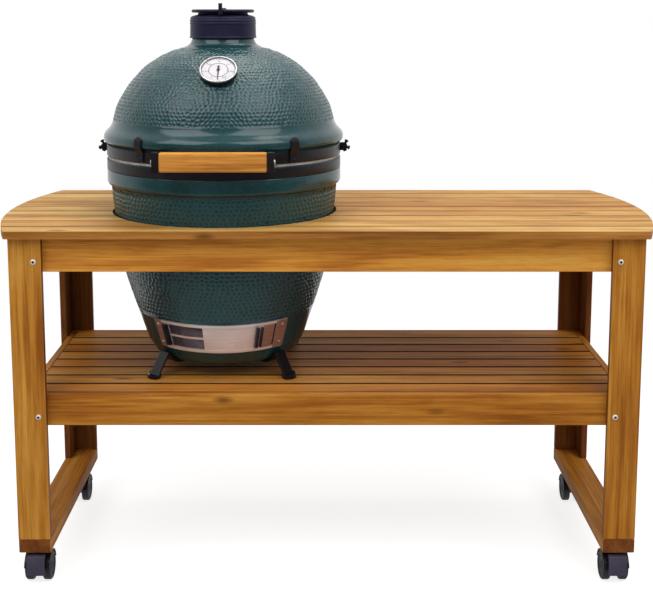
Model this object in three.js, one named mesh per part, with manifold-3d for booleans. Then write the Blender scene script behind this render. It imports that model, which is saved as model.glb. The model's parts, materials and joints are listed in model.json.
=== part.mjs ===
// Kamado grill table: a slatted hardwood table on four twin-wheel casters, with a ceramic
// kettle grill that stands on the lower shelf and rises through a round hole in the worktop.
// Lengths are in millimetres and +Z is up. X runs along the table and the front faces -Y.
// The origin is on the floor, under the middle of the table.
import * as THREE from "three";
import { mergeVertices } from "three/addons/utils/BufferGeometryUtils.js";
import Module from "manifold-3d";

const wasm = await Module();
wasm.setup();

// Clearances that all pieces share
const FIT = 0.3; // between two pieces that seat on each other
const OVERRUN = 4; // how far a cutting shape passes the piece that it cuts
const MERGE = 0.001; // corners closer than this are one corner

// Counts of facets
const KETTLE_FACETS = 36;
const HOLE_FACETS = 64;
const RING_FACETS = 32;
const CAP_FACETS = 32;
const DIAL_FACETS = 24;
const WHEEL_FACETS = 24;
const PIN_FACETS = 10;
const ARCH_STEPS = 8;

// Kettle base, from its flat bottom up; the outline holds shares of its radius and height
const BASE_RADIUS = 266; // the dimpled wall where it meets the rim
const BASE_WALL_TOP = 406; // height of that place
const BASE_RIM_STEP = 9; // the smooth rim stands out this far
const BASE_RIM_ROUND = 8;
const BASE_RIM_HEIGHT = 38; // from the step up to the band
const BAND_HEIGHT = 23;
const BAND_THICK = 3.2;
const BAND_MARGIN = 2; // bare clay between a band and the split
const CLAY_WALL = 21;
const BASE_FLOOR = 28;
const BASE_OUTLINE_SHARES = [
  [0.556, 0],
  [0.609, 0.009],
  [0.643, 0.027],
  [0.673, 0.059],
  [0.703, 0.091],
  [0.81, 0.3],
  [0.857, 0.397],
  [0.88, 0.443],
  [0.915, 0.547],
  [0.944, 0.67],
  [0.968, 0.793],
  [0.991, 0.916],
  [1, 1],
];
const GASKET_THICK = 3;
const GASKET_WIDTH = 22;

// Kettle lid, from the split up; its outline holds shares of the dome's radius and height
const DOME_INSET = 5; // the dome's foot lies this far inside the base's wall
const DOME_HEIGHT = 272; // from the split to the chimney's foot
const LID_RIM_STEP = 20; // the flared rim stands out this far past the dome
const LID_RIM_HEIGHT = 15;
const LID_SKIRT = 29; // the clay under the upper band
const LID_WALL = 20;
const DOME_OUTLINE_SHARES = [
  [1, 0.287],
  [0.99, 0.324],
  [0.981, 0.358],
  [0.958, 0.43],
  [0.92, 0.5],
  [0.874, 0.57],
  [0.82, 0.642],
  [0.751, 0.713],
  [0.667, 0.783],
  [0.548, 0.853],
  [0.46, 0.89],
  [0.354, 0.923],
  [0.299, 0.952],
  [0.276, 1],
];
const CHIMNEY_HEIGHT = 23;
const CHIMNEY_STEP = 2; // the shoulder that the vent cap stands over
const CHIMNEY_BORE = 50;

// Firebox, fire ring, grate and cooking grid inside the kettle
const LINER_GAP = 8; // between the fire clay and the kettle wall
const FIREBOX_HEIGHT = 247;
const FIREBOX_FLOOR = 18;
const FIREBOX_RIM_WALL = 20;
const FIREBOX_WALL = 30.7; // at its foot, round the neck under the grate
const GRATE_LEDGE = 80; // height of the grate above the kettle's floor
const GRATE_LEDGE_WIDTH = 22;
const GRATE_THICK = 8;
const GRATE_PLAY = 2; // round the grate's edge
const GRATE_HOLE = 9; // radius of one air hole
const GRATE_RING_COUNTS = [6, 12];
const RING_WALL = 18;
const GRID_BELOW_SPLIT = 39; // from the grid's top to the split
const GRID_WIRE = 5;
const GRID_WIRE_DROP = 1; // from the rim's top to the wires'
const GRID_RIM_THICK = 8;
const GRID_GAPS = 14;

// Draft opening in the front of the base; angles run from the front towards the right
const DRAFT_LOW = 47;
const DRAFT_HEIGHT = 50;
const DRAFT_FROM_ANGLE = -31.5;
const DRAFT_TO_ANGLE = 0;
const DRAFT_FRAME_ANGLE = 44.6; // each way from the front
const DRAFT_POST_ANGLE = 6;
const DRAFT_RAIL_HEIGHT = 9.5; // above and below the opening
const DRAFT_LIP = 5; // how far a rail's lip covers a panel
const DRAFT_SHEET = 1.4;
const DRAFT_SLIDE_GAP = 0.6;
const DOOR_FROM_ANGLE = -10.3;
const DOOR_TO_ANGLE = 28;
const DOOR_PULL_ANGLE = 24.6;
const SCREEN_FROM_ANGLE = -38;
const SCREEN_TO_ANGLE = 0.5;
const SCREEN_PULL_ANGLE = -35.6;
const PULL_ANGLE = 1; // half of a pull's width
const PULL_DEPTH = 9;
const SCREEN_BAR = 5;
const SCREEN_WINDOWS = 1; // in each of its two rows
const DRAFT_STEPS = 12; // facets along the curved frame

// Nest: the steel cradle under the kettle
const NEST_HEIGHT = 32; // from the shelf to the kettle's bottom
const NEST_STRAP_WIDTH = 25;
const NEST_STRAP_THICK = 5;
const NEST_RING_INNER = 96;
const NEST_RING_WIDTH = 26;
const NEST_CRADLE_RISE = 22; // how high the straps follow the kettle's side
const NEST_LEG_RUN = 36; // how far a leg leans out
const NEST_TOE = 15;
const NEST_LEGS = 4;

// Handle on the lid
const HANDLE_LENGTH = 231;
const HANDLE_HEIGHT = 42.5;
const HANDLE_DEPTH = 20;
const HANDLE_STANDOFF = 30; // from the band to the back of the bar
const HANDLE_RISE = 17; // the bar's middle above the split
const BRACKET_THICK = 14;
const BRACKET_FOOT = 40;
const BRACKET_FOOT_THICK = 4;

// Clips that hold the upper band to the lid's rim, and the clamp bolts at the band's sides
const CLIP_SPACE = 22.4; // from a handle bracket's foot to the clip beside it
const CLIP_WIDTH = 21;
const CLIP_THICK = 4;
const CLIP_PLAY = 0.6; // between the rim and a clip
const CLIP_HOOK = 22; // how far a clip reaches above the rim's underside
const LUG_REACH = 17;
const LUG_HEIGHT = 24;
const LUG_THICK = 4;
const LUG_SPACE = 8;
const CLAMP_BOLT_RADIUS = 3;
const CLAMP_HEAD_RADIUS = 6;
const CLAMP_HEAD = 5;

// Hinge at the back
const HINGE_PIN_RADIUS = 5;
const HINGE_EAR_RADIUS = 13;
const HINGE_EAR_THICK = 8;
const HINGE_EAR_SPACE = 96; // between the ears of the lower bracket
const HINGE_ARM_SPACE = 62; // between the arms of the upper bracket
const HINGE_PLATE_THICK = 5;
const HINGE_PIN_HEAD = 3;
const SPRING_WIRE = 3;
const SPRING_TURNS = 5;
const SPRING_PITCH = 4.6;
const SPRING_PLAY = 0.5; // between the pin and the coil
const SPRING_LEG = 14;
const SPRING_TURN_STEPS = 8;
const SPRING_SIDES = 5;

// Thermometer on the dome
const DIAL_HEIGHT_SHARE = 0.73; // of the dome's height
const DIAL_OFFSET = 4; // to the right of the middle
const DIAL_CASE_RADIUS = 41.5;
const DIAL_CASE_FOOT = 30;
const DIAL_CASE_HEIGHT = 14.5;
const DIAL_CASE_WALL = 3;
const DIAL_RECESS = 5;
const DIAL_PLATE = 1.2;
const NEEDLE_LENGTH = 30;
const NEEDLE_TAIL = 9;
const NEEDLE_WIDTH = 2.4;
const NEEDLE_THICK = 0.8;
const NEEDLE_LIFT = 1;
const NEEDLE_HUB = 3.2;
const DIAL_PIVOT_RADIUS = 1;
const STEM_RADIUS = 3.5;
const STEM_LENGTH = 70;

// Vent cap and damper on the chimney
const CAP_FOOT_RADIUS = 78;
const CAP_TOP_RADIUS = 76;
const CAP_HEIGHT = 48;
const CAP_NECK_RADIUS = 58;
const CAP_NECK_HEIGHT = 12;
const CAP_WALL = 8;
const CAP_PLATE = 3;
const DAMPER_RADIUS = 73;
const DAMPER_THICK = 5;
const DAMPER_LIFT = 1;
const DAMPER_HOLE = 9;
const DAMPER_HOLE_RING = 30;
const DAMPER_HOLES = 5;
const RIVET_RADIUS = 4;
const RIVET_HEAD_RADIUS = 9;
const RIVET_HEAD = 3;
const TAB_WIDTH = 8.5;
const TAB_DEPTH = 8;
const TAB_RISE = 14; // above the damper
const TAB_DROP = 8; // below the damper

// Casters
const WHEEL_RADIUS = 32;
const WHEEL_WIDTH = 17.5;
const WHEEL_CLEARANCE = 2;
const HOOD_WEB = 21; // the middle of the hood, between the wheels
const HOOD_SHELL = 3;
const HOOD_FROM_ANGLE = 12; // where the hood's arch starts above level, at each end
const TURRET_HEIGHT = 13;
const TURRET_RADIUS = 22;
const STEM_BORE_DEPTH = 24;
const CASTER_STEM_RADIUS = 5.5;
const AXLE_RADIUS = 5;
const CASTER_TRAIL = 18;
const CASTER_INSET = 65; // from the leg's face to the caster's pivot
const PEDAL_WIDTH = 40;
const PEDAL_DROP = 38;
const PEDAL_THICK = 4.5;
const PEDAL_PIN_RADIUS = 2.5;
const PEDAL_CHEEK = 6;

// Table frame and boards
const BOARD_THICK = 16; // the legs' two boards
const RAIL_THICK = 16;
const LEG_WIDTH = 71;
const LEG_SIDE_WIDTH = 70;
const FOOT_THICK = 32;
const UNDER_SHELF = 260; // from the foot boards to the shelf's rails
const SHELF_RAIL_HEIGHT = 72;
const SHELF_THICK = 16;
const SHELF_SLATS = 8;
const TOP_RAIL_HEIGHT = 78;
const TOP_THICK = 17;
const TOP_SLATS = 9;
const TOP_LENGTH = 1500; // at mid depth, over the bowed ends
const TOP_END_BOW = 55;
const SLAT_GAP = 3;
const FRONT_OVERHANG = 16;
const END_INSET = 60; // from the top's furthest end to the legs
const KETTLE_FROM_END = 508; // from the top's left end to the kettle's axis
const WALL_REVEAL = 67; // dimpled wall that shows above the worktop
const HOLE_GAP = 5.9; // between the kettle and the hole's edge
const RAIL_CLEARANCE = 4.5; // between the kettle and the rails
const BEARER_WIDTH = 40;
const BEARER_THICK = 18;
const BEARER_INSET = 12; // from the hole's edge to a bearer
const SHELF_BEARERS = 3;
const SLAT_END_STEPS = 4;

// Sizes that follow from those above
const DEGREE = Math.PI / 180;
const baseOutline = BASE_OUTLINE_SHARES.map(([r, h]) => [r * BASE_RADIUS, h * BASE_WALL_TOP]);
const dome = BASE_RADIUS - DOME_INSET;
const domeOutline = DOME_OUTLINE_SHARES.map(([r, h]) => [r * dome, h * DOME_HEIGHT]);
const rimRadius = BASE_RADIUS + BASE_RIM_STEP;
const bandSeat = rimRadius - BAND_THICK - FIT;
const baseTop = BASE_WALL_TOP + BASE_RIM_HEIGHT + BAND_HEIGHT + BAND_MARGIN;
const splitHeight = baseTop + GASKET_THICK; // above the kettle's bottom
const kettleBore = BASE_RADIUS - CLAY_WALL;
const linerAt = (h) => radiusAt(baseOutline, h) - CLAY_WALL - LINER_GAP;
const fireboxNeck = linerAt(BASE_FLOOR + FIT) - FIREBOX_WALL;
const lidRim = dome + LID_RIM_STEP;
const handleFront = rimRadius + HANDLE_STANDOFF + HANDLE_DEPTH;
const hingeReach = handleFront - HINGE_EAR_RADIUS;
const casterHeight = 2 * WHEEL_RADIUS + WHEEL_CLEARANCE + HOOD_SHELL + TURRET_HEIGHT;
const footTop = casterHeight + FOOT_THICK;
const shelfHeight = footTop + UNDER_SHELF + SHELF_RAIL_HEIGHT;
const kettleFoot = shelfHeight + NEST_HEIGHT;
const topHeight = kettleFoot + BASE_WALL_TOP - WALL_REVEAL;
const slatFoot = topHeight - TOP_THICK;
const holeRadius = radiusAt(baseOutline, topHeight - kettleFoot) + HOLE_GAP;
const railInnerY = radiusAt(baseOutline, slatFoot - kettleFoot) + RAIL_CLEARANCE;
const railOuterY = railInnerY + RAIL_THICK;
const legFaceY = railOuterY + BOARD_THICK;
const halfDepth = legFaceY + FRONT_OVERHANG;
const halfLength = TOP_LENGTH / 2;
const legFaceX = halfLength - END_INSET;
const railOuterX = legFaceX - BOARD_THICK;
const railInnerX = railOuterX - RAIL_THICK;
const kettleX = KETTLE_FROM_END - halfLength;

// Radius of an outline of [radius, height] points at a height, straight between its points.
function radiusAt(outline, height) {
  const above = outline.findIndex(([, h]) => h >= height);
  if (above < 0) return outline[outline.length - 1][0];
  if (above === 0) return outline[0][0];
  const [lowRadius, lowHeight] = outline[above - 1];
  const [highRadius, highHeight] = outline[above];
  const share = (height - lowHeight) / (highHeight - lowHeight);
  return lowRadius + (highRadius - lowRadius) * share;
}

// The points of an outline that the clay's inner face follows, with both ends kept
function everyOther(outline) {
  const last = outline.length - 1;
  return outline.filter((_, i) => (last - i) % 2 === 0 || i === 0);
}

// A closed geometry as a solid that can be joined and cut.
function solid(geometry) {
  const bare = new THREE.BufferGeometry();
  const loose = geometry.index ? geometry.toNonIndexed() : geometry;
  bare.setAttribute("position", loose.getAttribute("position").clone());
  const merged = mergeVertices(bare, MERGE);
  const corners = merged.index.array;
  const kept = [];
  for (let i = 0; i < corners.length; i += 3) {
    const [a, b, c] = corners.subarray(i, i + 3);
    if (a !== b && b !== c && c !== a) kept.push(a, b, c);
  }
  const vertProperties = merged.getAttribute("position").array;
  const mesh = new wasm.Mesh({ numProp: 3, vertProperties, triVerts: new Uint32Array(kept) });
  return new wasm.Manifold(mesh);
}

// The geometry of a solid.
function geometryOf(body) {
  const mesh = body.getMesh();
  const places = new Float32Array(mesh.numVert * 3);
  for (let i = 0; i < mesh.numVert; i++) {
    const start = i * mesh.numProp;
    places.set(mesh.vertProperties.subarray(start, start + 3), i * 3);
  }
  const geometry = new THREE.BufferGeometry();
  geometry.setAttribute("position", new THREE.BufferAttribute(places, 3));
  geometry.setIndex(new THREE.BufferAttribute(mesh.triVerts.slice(), 1));
  return geometry;
}

function join(...geometries) {
  return geometryOf(geometries.map(solid).reduce((sum, next) => sum.add(next)));
}

function cut(geometry, ...tools) {
  return geometryOf(tools.map(solid).reduce((rest, tool) => rest.subtract(tool), solid(geometry)));
}

// Basic shapes, each a closed geometry
function box([x0, y0, z0], [x1, y1, z1]) {
  const geometry = new THREE.BoxGeometry(x1 - x0, y1 - y0, z1 - z0);
  return geometry.translate((x0 + x1) / 2, (y0 + y1) / 2, (z0 + z1) / 2);
}

function anticlockwise(points) {
  const corners = points.map(([a, b]) => new THREE.Vector2(a, b));
  return THREE.ShapeUtils.isClockWise(corners) ? corners.reverse() : corners;
}

// A round piece about Z from [radius, height] points; an outline off the axis closes on itself.
function turned(points, facets = RING_FACETS) {
  const corners = anticlockwise(points);
  const onAxis = corners.filter((p) => p.x === 0).length;
  if (onAxis) {
    while (corners[0].x !== 0 || corners[corners.length - 1].x !== 0) corners.push(corners.shift());
  } else {
    corners.push(corners[0].clone());
  }
  return new THREE.LatheGeometry(corners, facets).rotateX(Math.PI / 2);
}

// A stretch of a round piece; angles are in degrees from the front (-Y) towards the right (+X).
function arcPiece(points, fromAngle, toAngle, steps) {
  const section = anticlockwise(points);
  const places = [];
  const faces = [];
  for (let i = 0; i <= steps; i++) {
    const angle = (fromAngle + ((toAngle - fromAngle) * i) / steps) * DEGREE;
    section.forEach((p) => places.push(p.x * Math.sin(angle), -p.x * Math.cos(angle), p.y));
  }
  const count = section.length;
  for (let i = 0; i < steps; i++) {
    for (let j = 0; j < count; j++) {
      const next = (j + 1) % count;
      const [a, b] = [i * count + j, (i + 1) * count + j];
      const [c, d] = [(i + 1) * count + next, i * count + next];
      faces.push(a, b, d, c, d, b);
    }
  }
  const last = steps * count;
  THREE.ShapeUtils.triangulateShape(section, []).forEach(([a, b, c]) => {
    faces.push(a, b, c, last + c, last + b, last + a);
  });
  const geometry = new THREE.BufferGeometry();
  geometry.setAttribute("position", new THREE.Float32BufferAttribute(places, 3));
  return geometry.setIndex(faces);
}

// A prism along Z from [x, y] points.
function prismZ(points, z0, z1) {
  const shape = new THREE.Shape(points.map(([x, y]) => new THREE.Vector2(x, y)));
  const geometry = new THREE.ExtrudeGeometry(shape, { depth: z1 - z0, bevelEnabled: false });
  return geometry.translate(0, 0, z0);
}

// A prism along X from [y, z] points.
function prismX(points, x0, x1) {
  const axes = [new THREE.Vector3(0, 1, 0), new THREE.Vector3(0, 0, 1), new THREE.Vector3(1, 0, 0)];
  return prismZ(points, x0, x1).applyMatrix4(new THREE.Matrix4().makeBasis(...axes));
}

function rodZ(radius, z0, z1, facets = PIN_FACETS) {
  const geometry = new THREE.CylinderGeometry(radius, radius, z1 - z0, facets).rotateX(Math.PI / 2);
  return geometry.translate(0, 0, (z0 + z1) / 2);
}

// A rod along X whose axis is at y and z.
function rodX(radius, x0, x1, y, z, facets = PIN_FACETS) {
  const geometry = new THREE.CylinderGeometry(radius, radius, x1 - x0, facets).rotateZ(Math.PI / 2);
  return geometry.translate((x0 + x1) / 2, y, z);
}

// The outline of a bent strap that has the thickness given, along [a, b] points.
function strap(points, thick) {
  const path = points.map(([a, b]) => new THREE.Vector2(a, b));
  const sides = path.map((p, i) => {
    const before = path[Math.max(i - 1, 0)];
    const after = path[Math.min(i + 1, path.length - 1)];
    const along = after.clone().sub(before).normalize();
    const across = new THREE.Vector2(-along.y, along.x).multiplyScalar(thick / 2);
    return [p.clone().add(across), p.clone().sub(across)];
  });
  const left = sides.map(([a]) => [a.x, a.y]);
  const right = sides.map(([, b]) => [b.x, b.y]).reverse();
  return [...left, ...right];
}

// Finishes
function finish(color, roughness, metalness = 0) {
  return new THREE.MeshStandardMaterial({ color, roughness, metalness, flatShading: true });
}
const finishes = {
  wood: () => finish(0xb87a30, 0.55),
  darkWood: () => finish(0x8a5526, 0.6),
  glaze: () => finish(0x1f4a44, 0.25),
  fireclay: () => finish(0xc9b08c, 0.9),
  blackSteel: () => finish(0x1c1a20, 0.45, 0.6),
  stainless: () => finish(0xb9aca0, 0.35, 0.9),
  iron: () => finish(0x232127, 0.7, 0.5),
  felt: () => finish(0xcfc9bd, 0.95),
  plastic: () => finish(0x17171d, 0.5),
  tread: () => finish(0x4a4a52, 0.7),
  dial: () => finish(0xf2f0ee, 0.4),
};

const table = new THREE.Group();
const kettle = new THREE.Group();
kettle.position.set(kettleX, 0, kettleFoot);
const lid = new THREE.Group();
lid.position.set(0, 0, splitHeight);
kettle.add(lid);
const model = new THREE.Group();
model.add(table, kettle);

function place(group, name, geometry, material) {
  const mesh = new THREE.Mesh(geometry, material());
  mesh.name = name;
  group.add(mesh);
  return mesh;
}

const sides = { left: -1, right: 1 };
const faces = { front: -1, back: 1 };

// Legs: a face board and a side board glued to an L, standing on the foot boards
function addLegs() {
  for (const [side, sx] of Object.entries(sides)) {
    for (const [face, sy] of Object.entries(faces)) {
      const outerX = sx * legFaceX;
      const outerY = sy * legFaceY;
      const outline = [
        [outerX, outerY],
        [outerX - sx * LEG_WIDTH, outerY],
        [outerX - sx * LEG_WIDTH, outerY - sy * BOARD_THICK],
        [outerX - sx * BOARD_THICK, outerY - sy * BOARD_THICK],
        [outerX - sx * BOARD_THICK, outerY - sy * (BOARD_THICK + LEG_SIDE_WIDTH)],
        [outerX, outerY - sy * (BOARD_THICK + LEG_SIDE_WIDTH)],
      ];
      place(table, `leg_${face}_${side}`, prismZ(outline, footTop, slatFoot), finishes.wood);
    }
  }
}

// Foot boards run front to back under the legs and hold the casters' stems
function addFootBoards() {
  for (const [side, sx] of Object.entries(sides)) {
    const inner = sx * (legFaceX - LEG_WIDTH);
    const outer = sx * legFaceX;
    const low = [Math.min(inner, outer), -legFaceY, casterHeight];
    const high = [Math.max(inner, outer), legFaceY, footTop];
    const bores = Object.values(faces).map((sy) => {
      const bore = rodZ(CASTER_STEM_RADIUS + FIT, casterHeight - OVERRUN, casterHeight + STEM_BORE_DEPTH);
      return bore.translate(sx * (legFaceX - LEG_WIDTH / 2), sy * (legFaceY - CASTER_INSET), 0);
    });
    place(table, `foot_board_${side}`, cut(box(low, high), ...bores), finishes.darkWood);
  }
}

// Four rails at each level, one board's thickness behind the legs' faces
function addRails(level, z0, z1) {
  for (const [face, sy] of Object.entries(faces)) {
    const [near, far] = [sy * railInnerY, sy * railOuterY].sort((a, b) => a - b);
    const rail = box([-railOuterX, near, z0], [railOuterX, far, z1]);
    place(table, `${level}_rail_${face}`, rail, finishes.wood);
  }
  for (const [side, sx] of Object.entries(sides)) {
    const [near, far] = [sx * railInnerX, sx * railOuterX].sort((a, b) => a - b);
    const rail = box([near, -railInnerY, z0], [far, railInnerY, z1]);
    place(table, `${level}_rail_${side}`, rail, finishes.wood);
  }
}

// Worktop slats between two places along X, with bowed ends and the kettle's hole
function topSlat(index, fromX, toX) {
  const width = (2 * halfDepth - (TOP_SLATS - 1) * SLAT_GAP) / TOP_SLATS;
  const y0 = -halfDepth + index * (width + SLAT_GAP);
  const bowRadius = (halfDepth ** 2 + TOP_END_BOW ** 2) / (2 * TOP_END_BOW);
  const endAt = (y) => halfLength - bowRadius + Math.sqrt(bowRadius ** 2 - y ** 2);
  const right = [];
  const left = [];
  for (let i = 0; i <= SLAT_END_STEPS; i++) {
    const y = y0 + (width * i) / SLAT_END_STEPS;
    right.push([Math.min(endAt(y), toX), y]);
    left.unshift([Math.max(-endAt(y), fromX), y]);
  }
  const spread = [...right, ...left].filter(([x, y], i, all) => {
    const [px, py] = all[(i + all.length - 1) % all.length];
    const [nx, ny] = all[(i + 1) % all.length];
    return Math.abs((x - px) * (ny - y) - (y - py) * (nx - x)) > MERGE;
  });
  const hole = rodZ(holeRadius, slatFoot - OVERRUN, topHeight + OVERRUN, HOLE_FACETS);
  return cut(prismZ(spread, slatFoot, topHeight), hole.translate(kettleX, 0, 0));
}

function bearer(x, thickTop) {
  const low = [x - BEARER_WIDTH / 2, -railInnerY, thickTop - BEARER_THICK];
  return box(low, [x + BEARER_WIDTH / 2, railInnerY, thickTop]);
}

// The long front and back slats, and the slats left and right of the hole on their bearers
function addWorktop() {
  place(table, "top_slat_front", topSlat(0, -halfLength, halfLength), finishes.wood);
  place(table, "top_slat_back", topSlat(TOP_SLATS - 1, -halfLength, halfLength), finishes.wood);
  const middle = Array.from({ length: TOP_SLATS - 2 }, (_, i) => i + 1);
  const beside = holeRadius + BEARER_INSET + BEARER_WIDTH / 2;
  const nearHole = kettleX + beside;
  const midway = (nearHole + railInnerX) / 2;
  const leftSlats = middle.map((i) => topSlat(i, -halfLength, kettleX));
  const rightSlats = middle.map((i) => topSlat(i, kettleX, halfLength));
  const leftDeck = join(...leftSlats, bearer(kettleX - beside, slatFoot));
  const rightDeck = join(...rightSlats, bearer(nearHole, slatFoot), bearer(midway, slatFoot));
  place(table, "top_deck_left", leftDeck, finishes.wood);
  place(table, "top_deck_right", rightDeck, finishes.wood);
}

// Shelf slats run between the side rails and are joined by bearers underneath
function addShelf() {
  const width = (2 * railInnerY - (SHELF_SLATS - 1) * SLAT_GAP) / SHELF_SLATS;
  const slatBottom = shelfHeight - SHELF_THICK;
  const pieces = Array.from({ length: SHELF_SLATS }, (_, i) => {
    const y = -railInnerY + i * (width + SLAT_GAP);
    return box([-railInnerX, y, slatBottom], [railInnerX, y + width, shelfHeight]);
  });
  for (let i = 0; i < SHELF_BEARERS; i++) {
    const x = -railInnerX + (2 * railInnerX * (i + 1)) / (SHELF_BEARERS + 1);
    pieces.push(bearer(x, slatBottom));
  }
  place(table, "shelf_deck", join(...pieces), finishes.darkWood);
}

// An arch over a wheel as [y, z] points about the axle
function arch(radius, thick, fromAngle) {
  const points = [];
  for (let i = 0; i <= ARCH_STEPS; i++) {
    const angle = (fromAngle + ((180 - 2 * fromAngle) * i) / ARCH_STEPS) * DEGREE;
    points.push([radius * Math.cos(angle), radius * Math.sin(angle)]);
  }
  return strap(points, thick);
}

// One caster: hood with its stem, a pair of wheels on their axle, and a brake pedal in front
function addCaster(face, side, sx, sy) {
  const caster = new THREE.Group();
  caster.position.set(sx * (legFaceX - LEG_WIDTH / 2), sy * (legFaceY - CASTER_INSET), 0);
  table.add(caster);
  const halfWidth = HOOD_WEB / 2 + WHEEL_CLEARANCE / 2 + WHEEL_WIDTH;
  const archRadius = WHEEL_RADIUS + WHEEL_CLEARANCE + HOOD_SHELL / 2;
  const axleY = -CASTER_TRAIL;
  const axleZ = WHEEL_RADIUS;
  const cover = prismX(arch(archRadius, HOOD_SHELL, HOOD_FROM_ANGLE), -halfWidth, halfWidth);
  const webFoot = 2 * AXLE_RADIUS;
  const web = prismX(
    [
      [-webFoot, -webFoot],
      [webFoot, -webFoot],
      [archRadius / 2, archRadius * Math.sin(60 * DEGREE)],
      [-archRadius / 2, archRadius * Math.sin(60 * DEGREE)],
    ],
    -HOOD_WEB / 2,
    HOOD_WEB / 2,
  );
  const hoodTop = 2 * WHEEL_RADIUS + WHEEL_CLEARANCE + HOOD_SHELL;
  const turretFoot = hoodTop - TURRET_HEIGHT;
  const parts = [
    cover.translate(0, axleY, axleZ),
    web.translate(0, axleY, axleZ),
    rodZ(TURRET_RADIUS, turretFoot, hoodTop + TURRET_HEIGHT - FIT, 2 * PIN_FACETS),
    rodZ(CASTER_STEM_RADIUS, hoodTop, casterHeight + STEM_BORE_DEPTH - WHEEL_CLEARANCE),
  ];
  const pinY = axleY - archRadius;
  const pinZ = hoodTop - HOOD_SHELL;
  if (face === "front") {
    const lugBack = axleY - archRadius / 2;
    const lug = [
      [pinY - PEDAL_PIN_RADIUS, pinZ + PEDAL_PIN_RADIUS],
      [pinY - PEDAL_PIN_RADIUS, pinZ - PEDAL_PIN_RADIUS],
      [lugBack, pinZ - 2 * PEDAL_PIN_RADIUS - HOOD_SHELL],
      [lugBack, pinZ + PEDAL_PIN_RADIUS],
    ];
    const lugHalf = PEDAL_WIDTH / 2 - 2 * PEDAL_CHEEK - FIT;
    parts.push(prismX(lug, -lugHalf, lugHalf));
    parts.push(rodX(PEDAL_PIN_RADIUS, -PEDAL_WIDTH / 2, PEDAL_WIDTH / 2, pinY, pinZ));
  }
  const bore = rodX(AXLE_RADIUS + FIT, -HOOD_WEB, HOOD_WEB, axleY, axleZ);
  const wells = [-1, 1].map((s) => {
    const [from, to] = [(s * HOOD_WEB) / 2, s * (halfWidth + OVERRUN)].sort((a, b) => a - b);
    return rodX(WHEEL_RADIUS + WHEEL_CLEARANCE / 2, from, to, axleY, axleZ, WHEEL_FACETS);
  });
  place(caster, `caster_hood_${face}_${side}`, cut(join(...parts), bore, ...wells), finishes.plastic);

  const inner = HOOD_WEB / 2 + WHEEL_CLEARANCE / 2;
  const wheels = join(
    rodX(WHEEL_RADIUS, inner, inner + WHEEL_WIDTH, axleY, axleZ, WHEEL_FACETS),
    rodX(WHEEL_RADIUS, -inner - WHEEL_WIDTH, -inner, axleY, axleZ, WHEEL_FACETS),
    rodX(AXLE_RADIUS, -inner - OVERRUN, inner + OVERRUN, axleY, axleZ),
  );
  place(caster, `caster_wheels_${face}_${side}`, wheels, finishes.tread);

  if (face === "front") {
    const plateY = pinY - PEDAL_PIN_RADIUS - PEDAL_THICK;
    const plate = prismX(
      strap(
        [
          [pinY, pinZ + PEDAL_PIN_RADIUS + PEDAL_THICK],
          [plateY, pinZ + PEDAL_PIN_RADIUS],
          [plateY - PEDAL_THICK, pinZ - PEDAL_DROP / 3],
          [plateY - PEDAL_THICK, pinZ - PEDAL_DROP],
        ],
        PEDAL_THICK,
      ),
      -PEDAL_WIDTH / 2,
      PEDAL_WIDTH / 2,
    );
    const cheeks = Object.values(sides).map((s) => {
      const [near, far] = [s * (PEDAL_WIDTH / 2 - 2 * PEDAL_CHEEK), s * (PEDAL_WIDTH / 2 - PEDAL_CHEEK)];
      const eye = 2 * PEDAL_PIN_RADIUS;
      const arm = prismX(
        [
          [pinY + eye, pinZ],
          [pinY, pinZ + eye],
          [plateY, pinZ + PEDAL_PIN_RADIUS],
          [plateY - PEDAL_THICK, pinZ - 2 * eye],
          [pinY, pinZ - eye],
        ],
        Math.min(near, far),
        Math.max(near, far),
      );
      return arm;
    });
    const pinBore = rodX(PEDAL_PIN_RADIUS + FIT, -PEDAL_WIDTH, PEDAL_WIDTH, pinY, pinZ);
    place(caster, `brake_pedal_${face}_${side}`, cut(join(plate, ...cheeks), pinBore), finishes.plastic);
  }
}

function addCasters() {
  for (const [side, sx] of Object.entries(sides)) {
    for (const [face, sy] of Object.entries(faces)) addCaster(face, side, sx, sy);
  }
}

// Kettle base: a clay bowl with a stepped rim and the draft opening in its front
function addBase() {
  const rimFoot = BASE_WALL_TOP + BASE_RIM_ROUND;
  const bandFoot = BASE_WALL_TOP + BASE_RIM_HEIGHT;
  const higher = baseOutline.filter(([, h]) => h > BASE_FLOOR);
  const inner = everyOther(higher).map(([r, h]) => [r - CLAY_WALL, h]);
  const outline = [
    [0, 0],
    ...baseOutline,
    [rimRadius - BASE_RIM_STEP / 3, BASE_WALL_TOP + BASE_RIM_ROUND / 3],
    [rimRadius, rimFoot],
    [rimRadius, bandFoot - FIT],
    [bandSeat, bandFoot - FIT],
    [bandSeat, baseTop],
    [kettleBore, baseTop],
    ...inner.reverse(),
    [radiusAt(baseOutline, BASE_FLOOR) - CLAY_WALL, BASE_FLOOR],
    [0, BASE_FLOOR],
  ];
  const shell = cut(turned(outline, KETTLE_FACETS), draftCut());
  place(kettle, "base_shell", shell, finishes.glaze);
}

// The wedge that opens the base and the firebox behind the draft door
function draftCut() {
  const section = [
    [fireboxNeck - 2 * FIREBOX_FLOOR, DRAFT_LOW],
    [BASE_RADIUS, DRAFT_LOW],
    [BASE_RADIUS, DRAFT_LOW + DRAFT_HEIGHT],
    [fireboxNeck - 2 * FIREBOX_FLOOR, DRAFT_LOW + DRAFT_HEIGHT],
  ];
  return arcPiece(section, DRAFT_FROM_ANGLE, DRAFT_TO_ANGLE, DRAFT_STEPS);
}

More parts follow.
